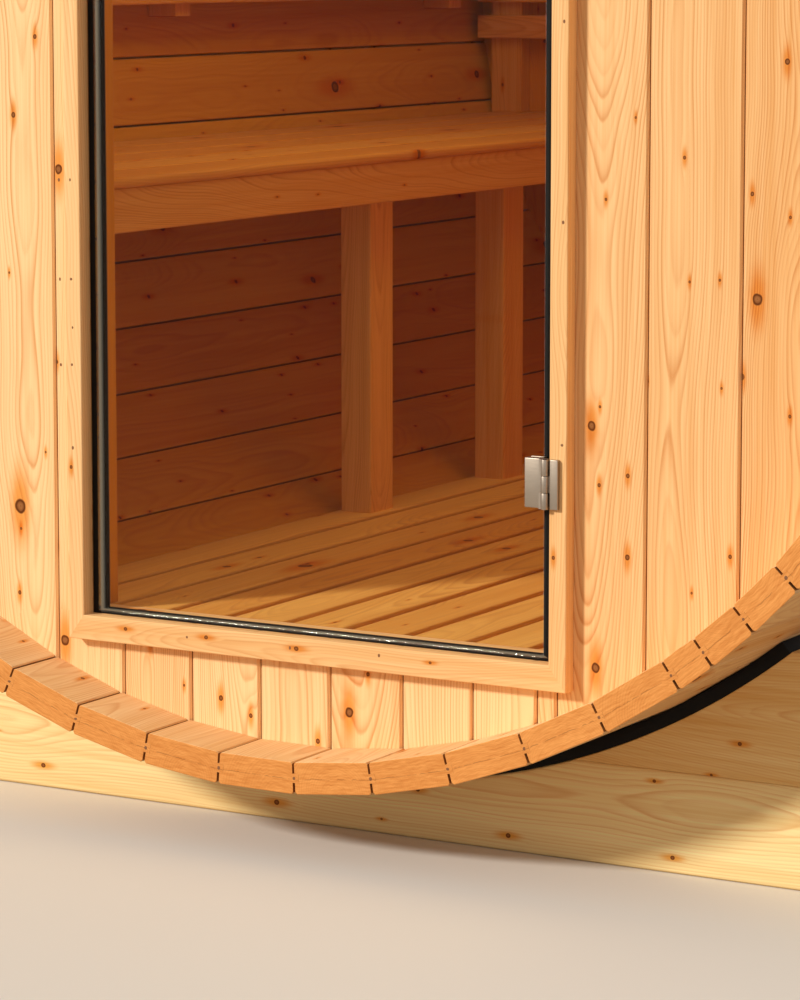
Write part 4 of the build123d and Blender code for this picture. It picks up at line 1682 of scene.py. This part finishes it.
@dataclass
class GlassDoor:
    """The frameless glass leaf with its grips, bolts and hinges."""

    barrel: Barrel
    left: float = -0.312
    right: float = 0.363
    half_height: float = 0.8305
    near: float = 0.085
    far: float = 0.093
    corner: float = 0.003
    arris: float = 0.0011
    hole: float = 0.0053
    handle_side: float = -0.255
    bolt_heights: Pair = (0.115, 0.285)
    bolt_radius: float = 0.005
    spacer_radius: float = 0.009
    washer_radius: float = 0.0095
    washer: float = 0.0015
    grip_heights: Pair = (0.075, 0.325)
    grip_width: float = 0.030
    grip_thickness: float = 0.028
    standoff: float = 0.037
    hinge_side: float = 0.3755
    hinge_depth: float = 0.070
    hinge_middle: float = 0.606
    hinge_height: float = 0.063
    knuckle_radius: float = 0.005
    knuckle_gap: float = 0.0005

    def loops(self) -> list[list[Pair]]:
        """The pane's outline with rounded corners, and its two round holes.

        Returns:
            Sides and heights of each loop.
        """
        outline = []
        for hand, upward, first in ((1, 1, 0), (-1, 1, 90), (-1, -1, 180), (1, -1, 270)):
            side = (self.right if hand > 0 else self.left) - hand * self.corner
            height = upward * (self.half_height - self.corner)
            for step in range(7):
                turn = math.radians(first + 15 * step)
                outline.append((side + self.corner * math.cos(turn), height + self.corner * math.sin(turn)))
        turns = [math.tau * step / 36 for step in range(36)]
        return [outline] + [
            [(self.handle_side + self.hole * math.cos(turn), height + self.hole * math.sin(turn)) for turn in turns]
            for height in self.bolt_heights
        ]

    def pane(self) -> None:
        """Makes the glass leaf with ground edges."""
        curve = bpy.data.curves.new("pane_outline", "CURVE")
        curve.dimensions = "2D"
        curve.fill_mode = "BOTH"
        curve.extrude = (self.far - self.near) / 2 - self.arris
        curve.bevel_depth = self.arris
        curve.offset = -self.arris
        curve.bevel_resolution = 1
        for loop in self.loops():
            spline = curve.splines.new("POLY")
            spline.points.add(len(loop) - 1)
            for point, (side, height) in zip(spline.points, loop):
                point.co = (side, height, 0.0, 1.0)
            spline.use_cyclic_u = True
        carrier = bpy.data.objects.new("pane_outline", curve)
        bpy.context.scene.collection.objects.link(carrier)
        graph = bpy.context.evaluated_depsgraph_get()
        mesh = bpy.data.meshes.new_from_object(carrier.evaluated_get(graph), depsgraph=graph)
        bpy.data.objects.remove(carrier)
        shape = bmesh.new()
        shape.from_mesh(mesh)
        bmesh.ops.remove_doubles(shape, verts=shape.verts, dist=1e-6)
        upright = Matrix(((1, 0, 0, 0), (0, 0, 1, (self.near + self.far) / 2), (0, 1, 0, 0), (0, 0, 0, 1)))
        shape.transform(self.barrel.to_row() @ upright)
        bmesh.ops.recalc_face_normals(shape, faces=shape.faces)
        for face in shape.faces:
            face.material_index = 0 if abs(face.normal.y) > 0.98 else 1
            face.smooth = False
        shape.to_mesh(mesh)
        shape.free()
        dress(show("door_pane", mesh, PANE, GLASS_EDGE), Body.DOOR, ("door_glass",))

    def grips(self) -> None:
        """Makes the wooden grips on both faces of the glass."""
        timbers = Timbers(self.barrel, seed=53)
        left, right = self.handle_side - self.grip_width / 2, self.handle_side + self.grip_width / 2
        low, high = self.grip_heights
        for near in (self.near - self.standoff - self.grip_thickness, self.far + self.standoff):
            outline = ((left, low), (right, low), (right, high), (left, high))
            shape = prism(outline, Way.DEPTH, near, near + self.grip_thickness)
            ease(shape, 0.008, 5, Way.DEPTH)
            ease(shape, 0.005, 4, sharper=60.0)
            centre = (self.handle_side, near + self.grip_thickness / 2, (low + high) / 2)
            timbers.lay(shape, Way.HEIGHT, Way.DEPTH, centre)
        timbers.piece("door_grips", Woods.TRIM.value, "door_handle", body=Body.DOOR, smooth=32.0)

    def bolts(self) -> None:
        """Makes the grips' bolts, hexagonal spacers and washers."""
        front, back = self.near - self.standoff, self.far + self.standoff
        inner, outer = self.near - self.washer, self.far + self.washer
        gathered = Gathered(self.barrel)
        for height in self.bolt_heights:
            for radius, start, end, sides, arris in (
                (self.bolt_radius, front + 0.001, back - 0.001, 32, 0.0),
                (self.spacer_radius, front, inner, 6, 0.0005), (self.spacer_radius, outer, back, 6, 0.0005),
                (self.washer_radius, inner, self.near, 32, 0.0004), (self.washer_radius, self.far, outer, 32, 0.0004),
            ):
                gathered.add(rod((self.handle_side, 0.0, height), Way.DEPTH, radius, start, end, sides, arris))
        gathered.piece("grip_bolts", HINGE_STEEL, "handle_bolts", body=Body.DOOR, smooth=32.0)

    def hinge(self, place: str, middle: float) -> None:
        """Makes one hinge: a leaf on the casing and a leaf that clamps the glass.

        Args:
            place: lower or upper.
            middle: height of its middle.
        """
        foot, head = middle - self.hinge_height / 2, middle + self.hinge_height / 2
        low, high = middle - self.hinge_height / 6, middle + self.hinge_height / 6
        side, depth = self.hinge_side, self.hinge_depth
        pin = (side, depth, 0.0)

        def plate(sides: Pair, depths: Pair, start: float, end: float, arris: float = 0.0) -> Shape:
            """A flat plate between two heights.

            Args:
                sides, depths: its extent.
                start, end: its heights.
                arris: how far its arrises are rounded, or none.

            Returns:
                The new shape.
            """
            (left, right), (near, far) = sides, depths
            shape = prism(((left, near), (right, near), (right, far), (left, far)), Way.HEIGHT, start, end)
            return ease(shape, arris, 3) if arris else shape

        frame = Gathered(self.barrel)
        frame.add(plate((side + 0.0065, side + 0.0180), (0.070, 0.076), foot, head, 0.0010))
        frame.add(plate((side, side + 0.0085), (0.071, 0.075), low, high))
        frame.add(rod(pin, Way.HEIGHT, self.knuckle_radius, low, high, 40, 0.0004))
        frame.add(rod(pin, Way.HEIGHT, self.knuckle_radius / 2, foot, head, 24, 0.0004))
        frame.piece(f"{place}_casing_leaf", HINGE_STEEL, f"{place}_hinge_frame_leaf", smooth=32.0)

        leaf = Gathered(self.barrel)
        right, past = side - 0.0065, self.right + 0.0021
        leaf.add(plate((right - 0.025, right), (0.075, 0.085), foot, head, 0.0012))
        leaf.add(plate((self.right + 0.0003, past), (0.0847, 0.096), foot, head, 0.0004))
        leaf.add(plate((right - 0.025, past), (0.093, 0.096), foot, head, 0.0006))
        for start, end in ((foot, low - self.knuckle_gap), (high + self.knuckle_gap, head)):
            leaf.add(plate((right - 0.002, side), (0.070, 0.080), start, end))
            leaf.add(rod(pin, Way.HEIGHT, self.knuckle_radius, start, end, 40, 0.0004))
        leaf.piece(f"{place}_glass_leaf", HINGE_STEEL, f"{place}_hinge_glass_leaf", body=Body.DOOR, smooth=32.0)


@dataclass
class Floor:
    """The slatted floor and its joists."""

    barrel: Barrel
    repeater: BoardRepeater
    top: float = -0.830
    width: float = 0.078
    gap: float = 0.014
    thickness: float = 0.020
    count: int = 11
    near: float = 0.1403
    far: float = 2.358
    joist_width: float = 0.045
    joist_height: float = 0.060
    joist_depths: tuple[float, ...] = (0.210, 0.90333, 1.59667, 2.290)

    def slats(self) -> None:
        """Makes the slats: nine by the repeater and the two bevelled outer ones."""
        pitch, half = self.width + self.gap, self.width / 2
        low = self.top - self.thickness
        single = Timbers(self.barrel, seed=61)
        single.plank(
            (-half, half), (self.near, self.far), (low, self.top), Way.DEPTH, Way.HEIGHT, 0.0028, Character(),
        )
        outer = Timbers(self.barrel, seed=62)
        reach = math.sqrt(self.barrel.inner_clear ** 2 - low ** 2)
        middle = pitch * (self.count - 1) / 2
        left, right = middle - half, middle + half
        edge = -math.sqrt(self.barrel.inner_clear ** 2 - right ** 2)
        for hand in (-1, 1):
            outline = [
                (hand * left, low), (hand * min(reach, right), low), (hand * right, max(edge, low)),
                (hand * right, self.top), (hand * left, self.top),
            ]
            shape = ease(prism(outline, Way.DEPTH, self.near, self.far), 0.0022, 2, Way.DEPTH)
            outer.lay(shape, Way.DEPTH, Way.HEIGHT, (hand * middle, 0.0, self.top - self.thickness / 2))
        self.repeater.lay(
            "floor_boards", single, Woods.ROOM.value, self.count - 2, 63, "floor_slats",
            start=(-(self.count - 3) / 2 * pitch, 0.0, 0.0), step=(pitch, 0.0, 0.0), others=outer,
        )

    def joists(self) -> None:
        """Makes the joists, their ends cut to the round."""
        high = self.top - self.thickness
        low = high - self.joist_height
        half = self.joist_width / 2
        timbers = Timbers(self.barrel, seed=67)
        for middle in self.joist_depths:
            shape = prism(self.barrel.scribed(-1.0, 1.0, low, high), Way.DEPTH, middle - half, middle + half)
            ease(shape, 0.0015, 1, sharper=50.0)
            timbers.lay(shape, Way.SIDE, Way.HEIGHT, (0.0, middle, (low + high) / 2))
        timbers.piece("floor_bearers", Woods.ROOM.value, "floor_joists")


@dataclass
class Bench:
    """The bench along the left wall."""

    barrel: Barrel
    repeater: BoardRepeater
    top: float = -0.258
    front: float = -0.392
    count: int = 5
    width: float = 0.0996
    gap: float = 0.012
    thickness: float = 0.016
    nosing: float = 0.006
    fascia_setback: float = 0.004
    fascia_thickness: float = 0.022
    fascia_drop: float = 0.062
    rail_thickness: float = 0.018
    rail_drop: float = 0.056
    post_width: float = 0.055
    post_depth: float = 0.070
    post_depths: tuple[float, ...] = (0.190, 1.015, 1.450)
    bearer: float = 0.045
    floor_top: float = -0.830
    depths: Pair = (0.142, 2.358)

    @property
    def under(self) -> float:
        """Height of the seat's underside."""
        return self.top - self.thickness

    @property
    def rail_front(self) -> float:
        """Side of the rail's face, behind the board along the front."""
        return self.front - self.fascia_setback - self.fascia_thickness

    def seat(self) -> None:
        """Makes the seat slats, the front one with a round nosing."""
        pitch = self.width + self.gap
        single = Timbers(self.barrel, seed=71)
        right = self.front - pitch
        single.plank(
            (right - self.width, right), self.depths, (self.under, self.top), Way.DEPTH, Way.HEIGHT, 0.0025,
            Character(),
        )
        nosed = Timbers(self.barrel, seed=72)
        left = self.front - self.width
        outline = ((left, self.under), (self.front, self.under), (self.front, self.top), (left, self.top))
        shape = prism(outline, Way.DEPTH, *self.depths)
        bevel(shape, [
            edge for edge in shape.edges
            if all(abs(v.co.x - self.front) < 1e-6 for v in edge.verts)
            and abs(edge.verts[0].co.z - edge.verts[1].co.z) < 1e-6
        ], self.nosing, 5)
        ease(shape, 0.0025, 2, Way.DEPTH, sharper=60.0)
        centre = (self.front - self.width / 2, 0.0, self.top - self.thickness / 2)
        nosed.lay(shape, Way.DEPTH, Way.HEIGHT, centre)
        self.repeater.lay(
            "bench_boards", single, Woods.ROOM.value, self.count - 1, 73, "bench_seat_slats",
            step=(-pitch, 0.0, 0.0), others=nosed,
        )

    def fascia(self) -> None:
        """Makes the board along the bench's front."""
        timbers = Timbers(self.barrel, seed=79)
        timbers.plank(
            (self.rail_front, self.front - self.fascia_setback), self.depths,
            (self.under - self.fascia_drop, self.under), Way.DEPTH, Way.SIDE, 0.0018,
        )
        timbers.piece("bench_front_board", Woods.ROOM.value, "bench_fascia")

    def framing(self) -> None:
        """Makes the rail behind the front board, the bearers on the posts and the ledger on the staves."""
        under, sizes = self.under, self.barrel
        rail_back = self.rail_front - self.rail_thickness
        low = under - self.bearer
        timbers = Timbers(sizes, seed=83)
        timbers.plank(
            (rail_back, self.rail_front), self.depths, (under - self.rail_drop, under), Way.DEPTH, Way.SIDE,
        )
        for near in self.post_depths:
            shape = prism(sizes.scribed(-1.0, rail_back, low, under), Way.DEPTH, near - self.bearer, near)
            ease(shape, 0.0012, 1, sharper=50.0)
            timbers.lay(shape, Way.SIDE, Way.HEIGHT, (-0.7, near - self.bearer / 2, (low + under) / 2))
        outer = -math.sqrt(sizes.inner_clear ** 2 - low ** 2)
        outline = sizes.scribed(outer, outer + 2 * self.bearer, low - self.bearer, low)
        shape = ease(prism(outline, Way.DEPTH, *self.depths), 0.0012, 1, sharper=50.0)
        timbers.lay(shape, Way.DEPTH, Way.HEIGHT, (outer + self.bearer, 0.0, low - self.bearer / 2))
        timbers.piece("bench_framing", Woods.ROOM.value, "bench_bearers")

    def posts(self) -> None:
        """Makes the square posts."""
        right = self.rail_front - self.rail_thickness
        timbers = Timbers(self.barrel, seed=89)
        for near in self.post_depths:
            timbers.plank(
                (right - self.post_width, right), (near, near + self.post_depth), (self.floor_top, self.under),
                Way.HEIGHT, Way.SIDE, 0.0025,
            )
        timbers.piece("bench_legs", Woods.ROOM.value, "bench_posts")


@dataclass
class Backrests:
    """The backrest along the left wall and the one over the bench's end."""

    barrel: Barrel
    repeater: BoardRepeater
    front: float = -0.905
    bottom: float = -0.036
    width: float = 0.088
    gap: float = 0.020
    thickness: float = 0.018
    depths: Pair = (0.160, 2.290)
    bracket: float = 0.045
    bracket_overhang: float = 0.022
    bracket_depths: tuple[float, ...] = (0.300, 1.225, 2.150)
    end_left: float = -0.961
    end_right: float = -0.392
    end_bottom: float = -0.117
    end_width: float = 0.044
    end_gap: float = 0.025
    end_depths: Pair = (2.305, 2.325)
    batten_lefts: Pair = (-0.94195, -0.500)
    batten_width: float = 0.066
    batten_far: float = 2.360
    batten_overhang: float = 0.014
    bench_top: float = -0.258

    def side_slats(self) -> None:
        """Makes the two slats along the left wall."""
        timbers = Timbers(self.barrel, seed=97)
        for index in range(2):
            low = self.bottom + index * (self.width + self.gap)
            timbers.plank(
                (self.front - self.thickness, self.front), self.depths, (low, low + self.width), Way.DEPTH,
                Way.SIDE, 0.003,
            )
        timbers.piece("backrest_boards", Woods.ROOM.value, "backrest_slats")

    def brackets(self) -> None:
        """Makes the brackets that carry them on the staves."""
        low = self.bottom - self.bracket_overhang
        high = self.bottom + 2 * self.width + self.gap + self.bracket_overhang
        outline = self.barrel.scribed(-1.0, self.front - self.thickness, low, high)
        half = self.bracket / 2
        timbers = Timbers(self.barrel, seed=101)
        for middle in self.bracket_depths:
            shape = ease(prism(outline, Way.DEPTH, middle - half, middle + half), 0.0015, 1, sharper=50.0)
            timbers.lay(shape, Way.HEIGHT, Way.SIDE, (self.front - self.bracket, middle, (low + high) / 2))
        timbers.piece("backrest_blocks", Woods.ROOM.value, "backrest_brackets")

    def end_slats(self) -> None:
        """Makes the three slats over the bench's end."""
        low = self.end_bottom
        single = Timbers(self.barrel, seed=103)
        single.plank(
            (self.end_left, self.end_right), self.end_depths, (low, low + self.end_width), Way.SIDE, Way.DEPTH,
            0.003, Character(),
        )
        self.repeater.lay(
            "end_backrest_boards", single, Woods.ROOM.value, 3, 104, "end_backrest_slats",
            step=(0.0, 0.0, self.end_width + self.end_gap),
        )

    def end_battens(self) -> None:
        """Makes the uprights that carry them."""
        high = self.end_bottom + 3 * (self.end_width + self.end_gap) - self.end_gap + self.batten_overhang
        timbers = Timbers(self.barrel, seed=107)
        for left in self.batten_lefts:
            timbers.plank(
                (left, left + self.batten_width), (self.end_depths[1], self.batten_far),
                (self.bench_top + self.barrel.clearance, high), Way.HEIGHT, Way.DEPTH, 0.002,
            )
        timbers.piece("end_backrest_uprights", Woods.ROOM.value, "end_backrest_battens")


@dataclass
class Cradles:
    """The timber cradles and the rubber pads in their seats."""

    barrel: Barrel
    depth: float = 0.205
    thickness: float = 0.060
    half_length: float = 1.150
    lower_height: float = 0.133
    upper_height: float = 0.170
    wing_foot: float = 1.080
    wing_head: float = 0.980
    arris: float = 0.0045
    low_tone: float = 0.62
    # Tones of the two wings: the left lighter as painted light where the key lamp falls on it, the right darker as
    # painted shade under the barrel.
    wing_lit_and_shaded_tones: tuple[tuple[int, float], ...] = ((-1, 0.75), (1, 0.0))
    pad_thickness: float = 0.0184
    pad_half_angle: float = 38.6

    @property
    def seat_radius(self) -> float:
        """Radius of the seat cut into the boards."""
        return self.barrel.radius + self.barrel.clearance + self.pad_thickness

    def seat_points(self, low: float, high: float, hand: int) -> list[Pair]:
        """Points down the seat's curve on one side, from a high level to a low one.

        Args:
            low, high: the two levels.
            hand: -1 for the left side, 1 for the right.

        Returns:
            Sides and heights.
        """
        reach = self.seat_radius
        first, last = math.acos(-high / reach), math.acos(min(1.0, -low / reach))
        turns = [first + (last - first) * step / 40 for step in range(41)]
        return [(hand * reach * math.sin(turn), -reach * math.cos(turn)) for turn in turns]

    def board(self, outline: Outline, near: float) -> Shape:
        """A cradle board of an outline, its arrises well rounded."""
        return ease(prism(outline, Way.DEPTH, near, near + self.thickness), self.arris, 3, sharper=40.0)

    def cradle(self, name: str, near: float, seed: int) -> None:
        """Makes one cradle: the lower board with its dip and the upper board's two wings.

        Args:
            name: front or rear.
            near: depth of its near face.
            seed: which boards they are.
        """
        floor = -self.barrel.axis_height
        seam = floor + self.lower_height
        top = seam + self.upper_height
        middle = near + self.thickness / 2
        dip = self.seat_points(-self.seat_radius, seam, -1)
        dip += self.seat_points(-self.seat_radius, seam, 1)[-2::-1]
        outline = [(-self.half_length, floor), (-self.half_length, seam), *dip]
        outline += [(self.half_length, seam), (self.half_length, floor)]
        timbers = Timbers(self.barrel, seed=seed)
        looks = replace(timbers.character(), tone=self.low_tone)
        timbers.lay(self.board(outline, near), Way.SIDE, Way.DEPTH, (0.0, middle, (floor + seam) / 2), looks)
        timbers.piece(f"{name}_cradle_low_board", Woods.CRADLES.value, f"{name}_cradle_lower_board")

        timbers = Timbers(self.barrel, seed=seed + 1)
        looks = timbers.character()
        # Each wing's tone carries its painted light or shade.
        for hand, tone in self.wing_lit_and_shaded_tones:
            outline = [(hand * self.wing_foot, seam), (hand * self.wing_head, top)]
            shape = self.board(outline + self.seat_points(seam, top, hand), near)
            timbers.lay(shape, Way.SIDE, Way.DEPTH, (0.0, middle, (seam + top) / 2), replace(looks, tone=tone))
        timbers.piece(f"{name}_cradle_wings", Woods.CRADLES.value, f"{name}_cradle_upper_board")

    def build(self) -> None:
        """Makes both cradles and the rubber pads between staves and cradles."""
        sizes = self.barrel
        nears = (self.depth, sizes.length - self.depth - self.thickness)
        for name, near, seed in zip(("front", "rear"), nears, (113, 117)):
            self.cradle(name, near, seed)
        inner, outer = sizes.radius + sizes.clearance, self.seat_radius - sizes.clearance
        turns = [self.pad_half_angle * (step / 36 - 1) for step in range(73)]
        outline = [sizes.on_round(turn, inner) for turn in turns]
        outline += [sizes.on_round(turn, outer) for turn in reversed(turns)]
        gathered = Gathered(sizes)
        for near in nears:
            gathered.add(ease(prism(outline, Way.DEPTH, near, near + self.thickness), 0.002, 2, sharper=40.0))
        gathered.piece("cradle_rubbers", PAD_RUBBER, "cradle_pads", smooth=30.0)


@dataclass
class SteelBands:
    """The bands round the staves, each drawn tight by a bolt."""

    barrel: Barrel
    depths: tuple[float, ...] = (0.330, 1.250, 2.170)
    width: float = 0.030
    thickness: float = 0.0015
    bolt_stave: int = 5
    opening: float = 0.036
    lug_height: float = 0.024
    lug_thickness: float = 0.004
    bolt_radius: float = 0.004
    bolt_past: float = 0.014
    head_radius: float = 0.0075
    head_height: float = 0.0053
    washer_radius: float = 0.0082
    washer: float = 0.0012

    def line(self, radius: float) -> list[Pair]:
        """The band's line from lug to lug.

        Args:
            radius: radius of the line at the staves' joints.

        Returns:
            Sides and heights from one lug to the other.
        """
        spans = self.barrel.spans()
        start, end = spans[self.bolt_stave]
        middle, foot = (start + end) / 2, radius * math.cos(math.radians((end - start) / 2))
        joints = [last for _, last in spans[self.bolt_stave:] + spans[:self.bolt_stave]]
        first, last = [self.barrel.on_round(middle, foot, hand * self.opening / 2) for hand in (1, -1)]
        return [first, *(self.barrel.on_round(angle, radius) for angle in joints), last]

    def build(self) -> None:
        """Makes the three bands with their lugs, bolts and nuts."""
        sizes = self.barrel
        start, end = sizes.spans()[self.bolt_stave]
        inner = sizes.radius + sizes.clearance
        outline = self.line(inner) + self.line(inner + self.thickness)[::-1]
        turn = Matrix.Rotation(-math.radians((start + end) / 2), 4, "Y")
        foot = -inner * math.cos(math.radians((end - start) / 2))
        tip = foot - self.lug_height
        half, outside = self.opening / 2, self.opening / 2 + self.lug_thickness
        beyond = outside + self.washer
        gathered = Gathered(sizes)
        for depth in self.depths:
            near, far = depth - self.width / 2, depth + self.width / 2
            gathered.add(ease(prism(outline, Way.DEPTH, near, far), 0.0004, 1, sharper=60.0))
            fittings = []
            for left, right in ((half, outside), (-outside, -half)):
                shape = prism(((left, foot), (right, foot), (right, tip), (left, tip)), Way.DEPTH, near, far)
                ease(shape, 0.004, 4, Way.SIDE)
                fittings.append(ease(shape, 0.0005, 2, sharper=60.0))
            for radius, first, last, sides, arris in (
                (self.bolt_radius, -outside - self.bolt_past, outside + 0.001, 28, 0.0005),
                (self.head_radius, beyond, beyond + self.head_height, 6, 0.0006),
                (self.head_radius, -beyond - self.head_height, -beyond, 6, 0.0006),
                (self.washer_radius, outside, beyond, 32, 0.0003),
                (self.washer_radius, -beyond, -outside, 32, 0.0003),
            ):
                centre = (0.0, depth, foot - self.lug_height / 2)
                fittings.append(rod(centre, Way.SIDE, radius, first, last, sides, arris))
            for shape in fittings:
                shape.transform(turn)
                gathered.add(shape)
        gathered.piece("drawn_bands", BAND_STEEL, "steel_bands", smooth=20.0)


@dataclass
class Studio:
    """Camera, floor, lamps and world."""

    barrel: Barrel
    place: Colour = (2.5326, -5.2449, 1.1787)
    yaw: float = 30.1968
    pitch: float = 6.9641
    lens: float = 134.284
    shift: float = -0.1
    floor_half: float = 40.0
    key_travel: Colour = (0.70, 1.0, -0.65)
    key_strength: float = 2.85
    key_colour: Colour = (1.0, 0.93, 0.82)
    key_softness: float = 7.0
    world_light: float = 0.48
    room_place: Colour = (-0.06, 0.88, 0.86)
    room_size: Pair = (0.5, 1.4)
    room_power: float = 6.4
    room_colour: Colour = (1.0, 0.77, 0.32)

    def hang(self, name: str, data: bpy.types.ID) -> Object:
        """Links a new object that holds the given data.

        Args:
            name: its name.
            data: its data.

        Returns:
            The new object.
        """
        made = bpy.data.objects.new(name, data)
        bpy.context.scene.collection.objects.link(made)
        return made

    def camera(self) -> None:
        """Places the camera where the photograph was taken from."""
        data = bpy.data.cameras.new("camera")
        data.lens = self.lens
        data.sensor_width = 36.0
        data.shift_y = self.shift
        camera = self.hang("camera", data)
        camera.location = self.place
        camera.rotation_euler = (math.radians(90 - self.pitch), 0.0, math.radians(self.yaw))
        bpy.context.scene.camera = camera

    def seen(self, bench: NodeBench) -> object:
        """1 for the rays that show the background: straight, mirrored or through glass.

        Args:
            bench: the tree that asks.

        Returns:
            A value of 0 or 1.
        """
        path = bench.node("ShaderNodeLightPath").outputs
        turned = bench.math("MAXIMUM", path["Is Glossy Ray"], path["Is Transmission Ray"])
        return bench.math("MAXIMUM", path["Is Camera Ray"], turned)

    def ground(self) -> None:
        """Makes the plain pale floor."""
        mesh = bpy.data.meshes.new("studio_floor")
        half = self.floor_half
        mesh.from_pydata(
            [(-half, -half, 0.0), (half, -half, 0.0), (half, half, 0.0), (-half, half, 0.0)], [], [(0, 1, 2, 3)],
        )
        material = bpy.data.materials.new("pale_floor")
        material.use_nodes = True
        bench = NodeBench(material.node_tree)
        shader = material.node_tree.nodes["Principled BSDF"]
        cloud = bench.noise(bench.place(), (0.6, 0.6, 0.6))
        pale = bench.mix(cloud, (0.72, 0.70, 0.67), (0.77, 0.75, 0.72))
        bench.feed(shader.inputs["Base Color"], bench.mix(self.seen(bench), (0.42, 0.30, 0.20), pale))
        shader.inputs["Roughness"].default_value = 0.8
        shader.inputs["Specular IOR Level"].default_value = 0.1
        mesh.materials.append(material)
        self.hang("studio_floor", mesh)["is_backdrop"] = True

    def lamps(self) -> None:
        """Hangs a soft key lamp at the front left and a warm one in the room."""
        key = bpy.data.lights.new("key", "SUN")
        key.energy = self.key_strength
        key.angle = math.radians(self.key_softness)
        key.color = self.key_colour
        turn = Vector(self.key_travel).to_track_quat("-Z", "Y")
        self.hang("key", key).rotation_euler = turn.to_euler()
        room = bpy.data.lights.new("room_lamp", "AREA")
        room.shape = "RECTANGLE"
        room.size, room.size_y = self.room_size
        room.energy = self.room_power
        room.color = self.room_colour
        lamp = self.hang("room_lamp", room)
        lamp.location = self.barrel.to_row() @ Vector(self.room_place)
        lamp.visible_camera = False
        lamp.visible_glossy = False

    def world(self) -> None:
        """Sets the world's even light, and its pale colour where the background shows."""
        world = bpy.data.worlds.new("studio")
        world.use_nodes = True
        bpy.context.scene.world = world
        bench = NodeBench(world.node_tree)
        light = world.node_tree.nodes["Background"]
        light.inputs["Color"].default_value = (1.0, 0.95, 0.89, 1.0)
        light.inputs["Strength"].default_value = self.world_light
        both = bench.node("ShaderNodeMixShader")
        bench.feed(both.inputs[0], self.seen(bench))
        bench.feed(both.inputs[1], light.outputs[0])
        bench.feed(both.inputs[2], bench.call("ShaderNodeBackground", {"Color": (0.93, 0.92, 0.90, 1.0)}))
        bench.feed(world.node_tree.nodes["World Output"].inputs["Surface"], both.outputs[0])

    def build(self) -> None:
        """Sets up the whole studio."""
        bpy.context.scene.view_settings.view_transform = "Standard"
        self.camera()
        self.ground()
        self.lamps()
        self.world()


def corners() -> list[list[float]]:
    """The lowest and highest corner of what shows, as plain lists."""
    return [[float(part) for part in corner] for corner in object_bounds()]


def main() -> None:
    """Builds the sauna piece by piece."""
    logging.basicConfig(level=logging.INFO, format="%(message)s")
    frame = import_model()
    barrel = Barrel()
    repeater = BoardRepeater(barrel)
    walls, opening, door = EndWalls(barrel), DoorFrame(barrel), GlassDoor(barrel)
    floor, bench, backrests = Floor(barrel, repeater), Bench(barrel, repeater), Backrests(barrel, repeater)
    Studio(barrel).build()
    StaveShell(barrel, repeater).build()
    for make in (
        walls.front, walls.back, opening.casing, opening.lining, opening.sill, opening.seal,
        SunkNails(barrel).build, door.pane, door.grips, door.bolts,
    ):
        make()
    door.hinge("lower", -door.hinge_middle)
    door.hinge("upper", door.hinge_middle)
    for make in (
        floor.slats, floor.joists, bench.seat, bench.fascia, bench.framing, bench.posts,
        backrests.side_slats, backrests.brackets, backrests.end_slats, backrests.end_battens,
        Cradles(barrel).build, SteelBands(barrel).build,
    ):
        make()


if __name__ == "__main__":
    main()
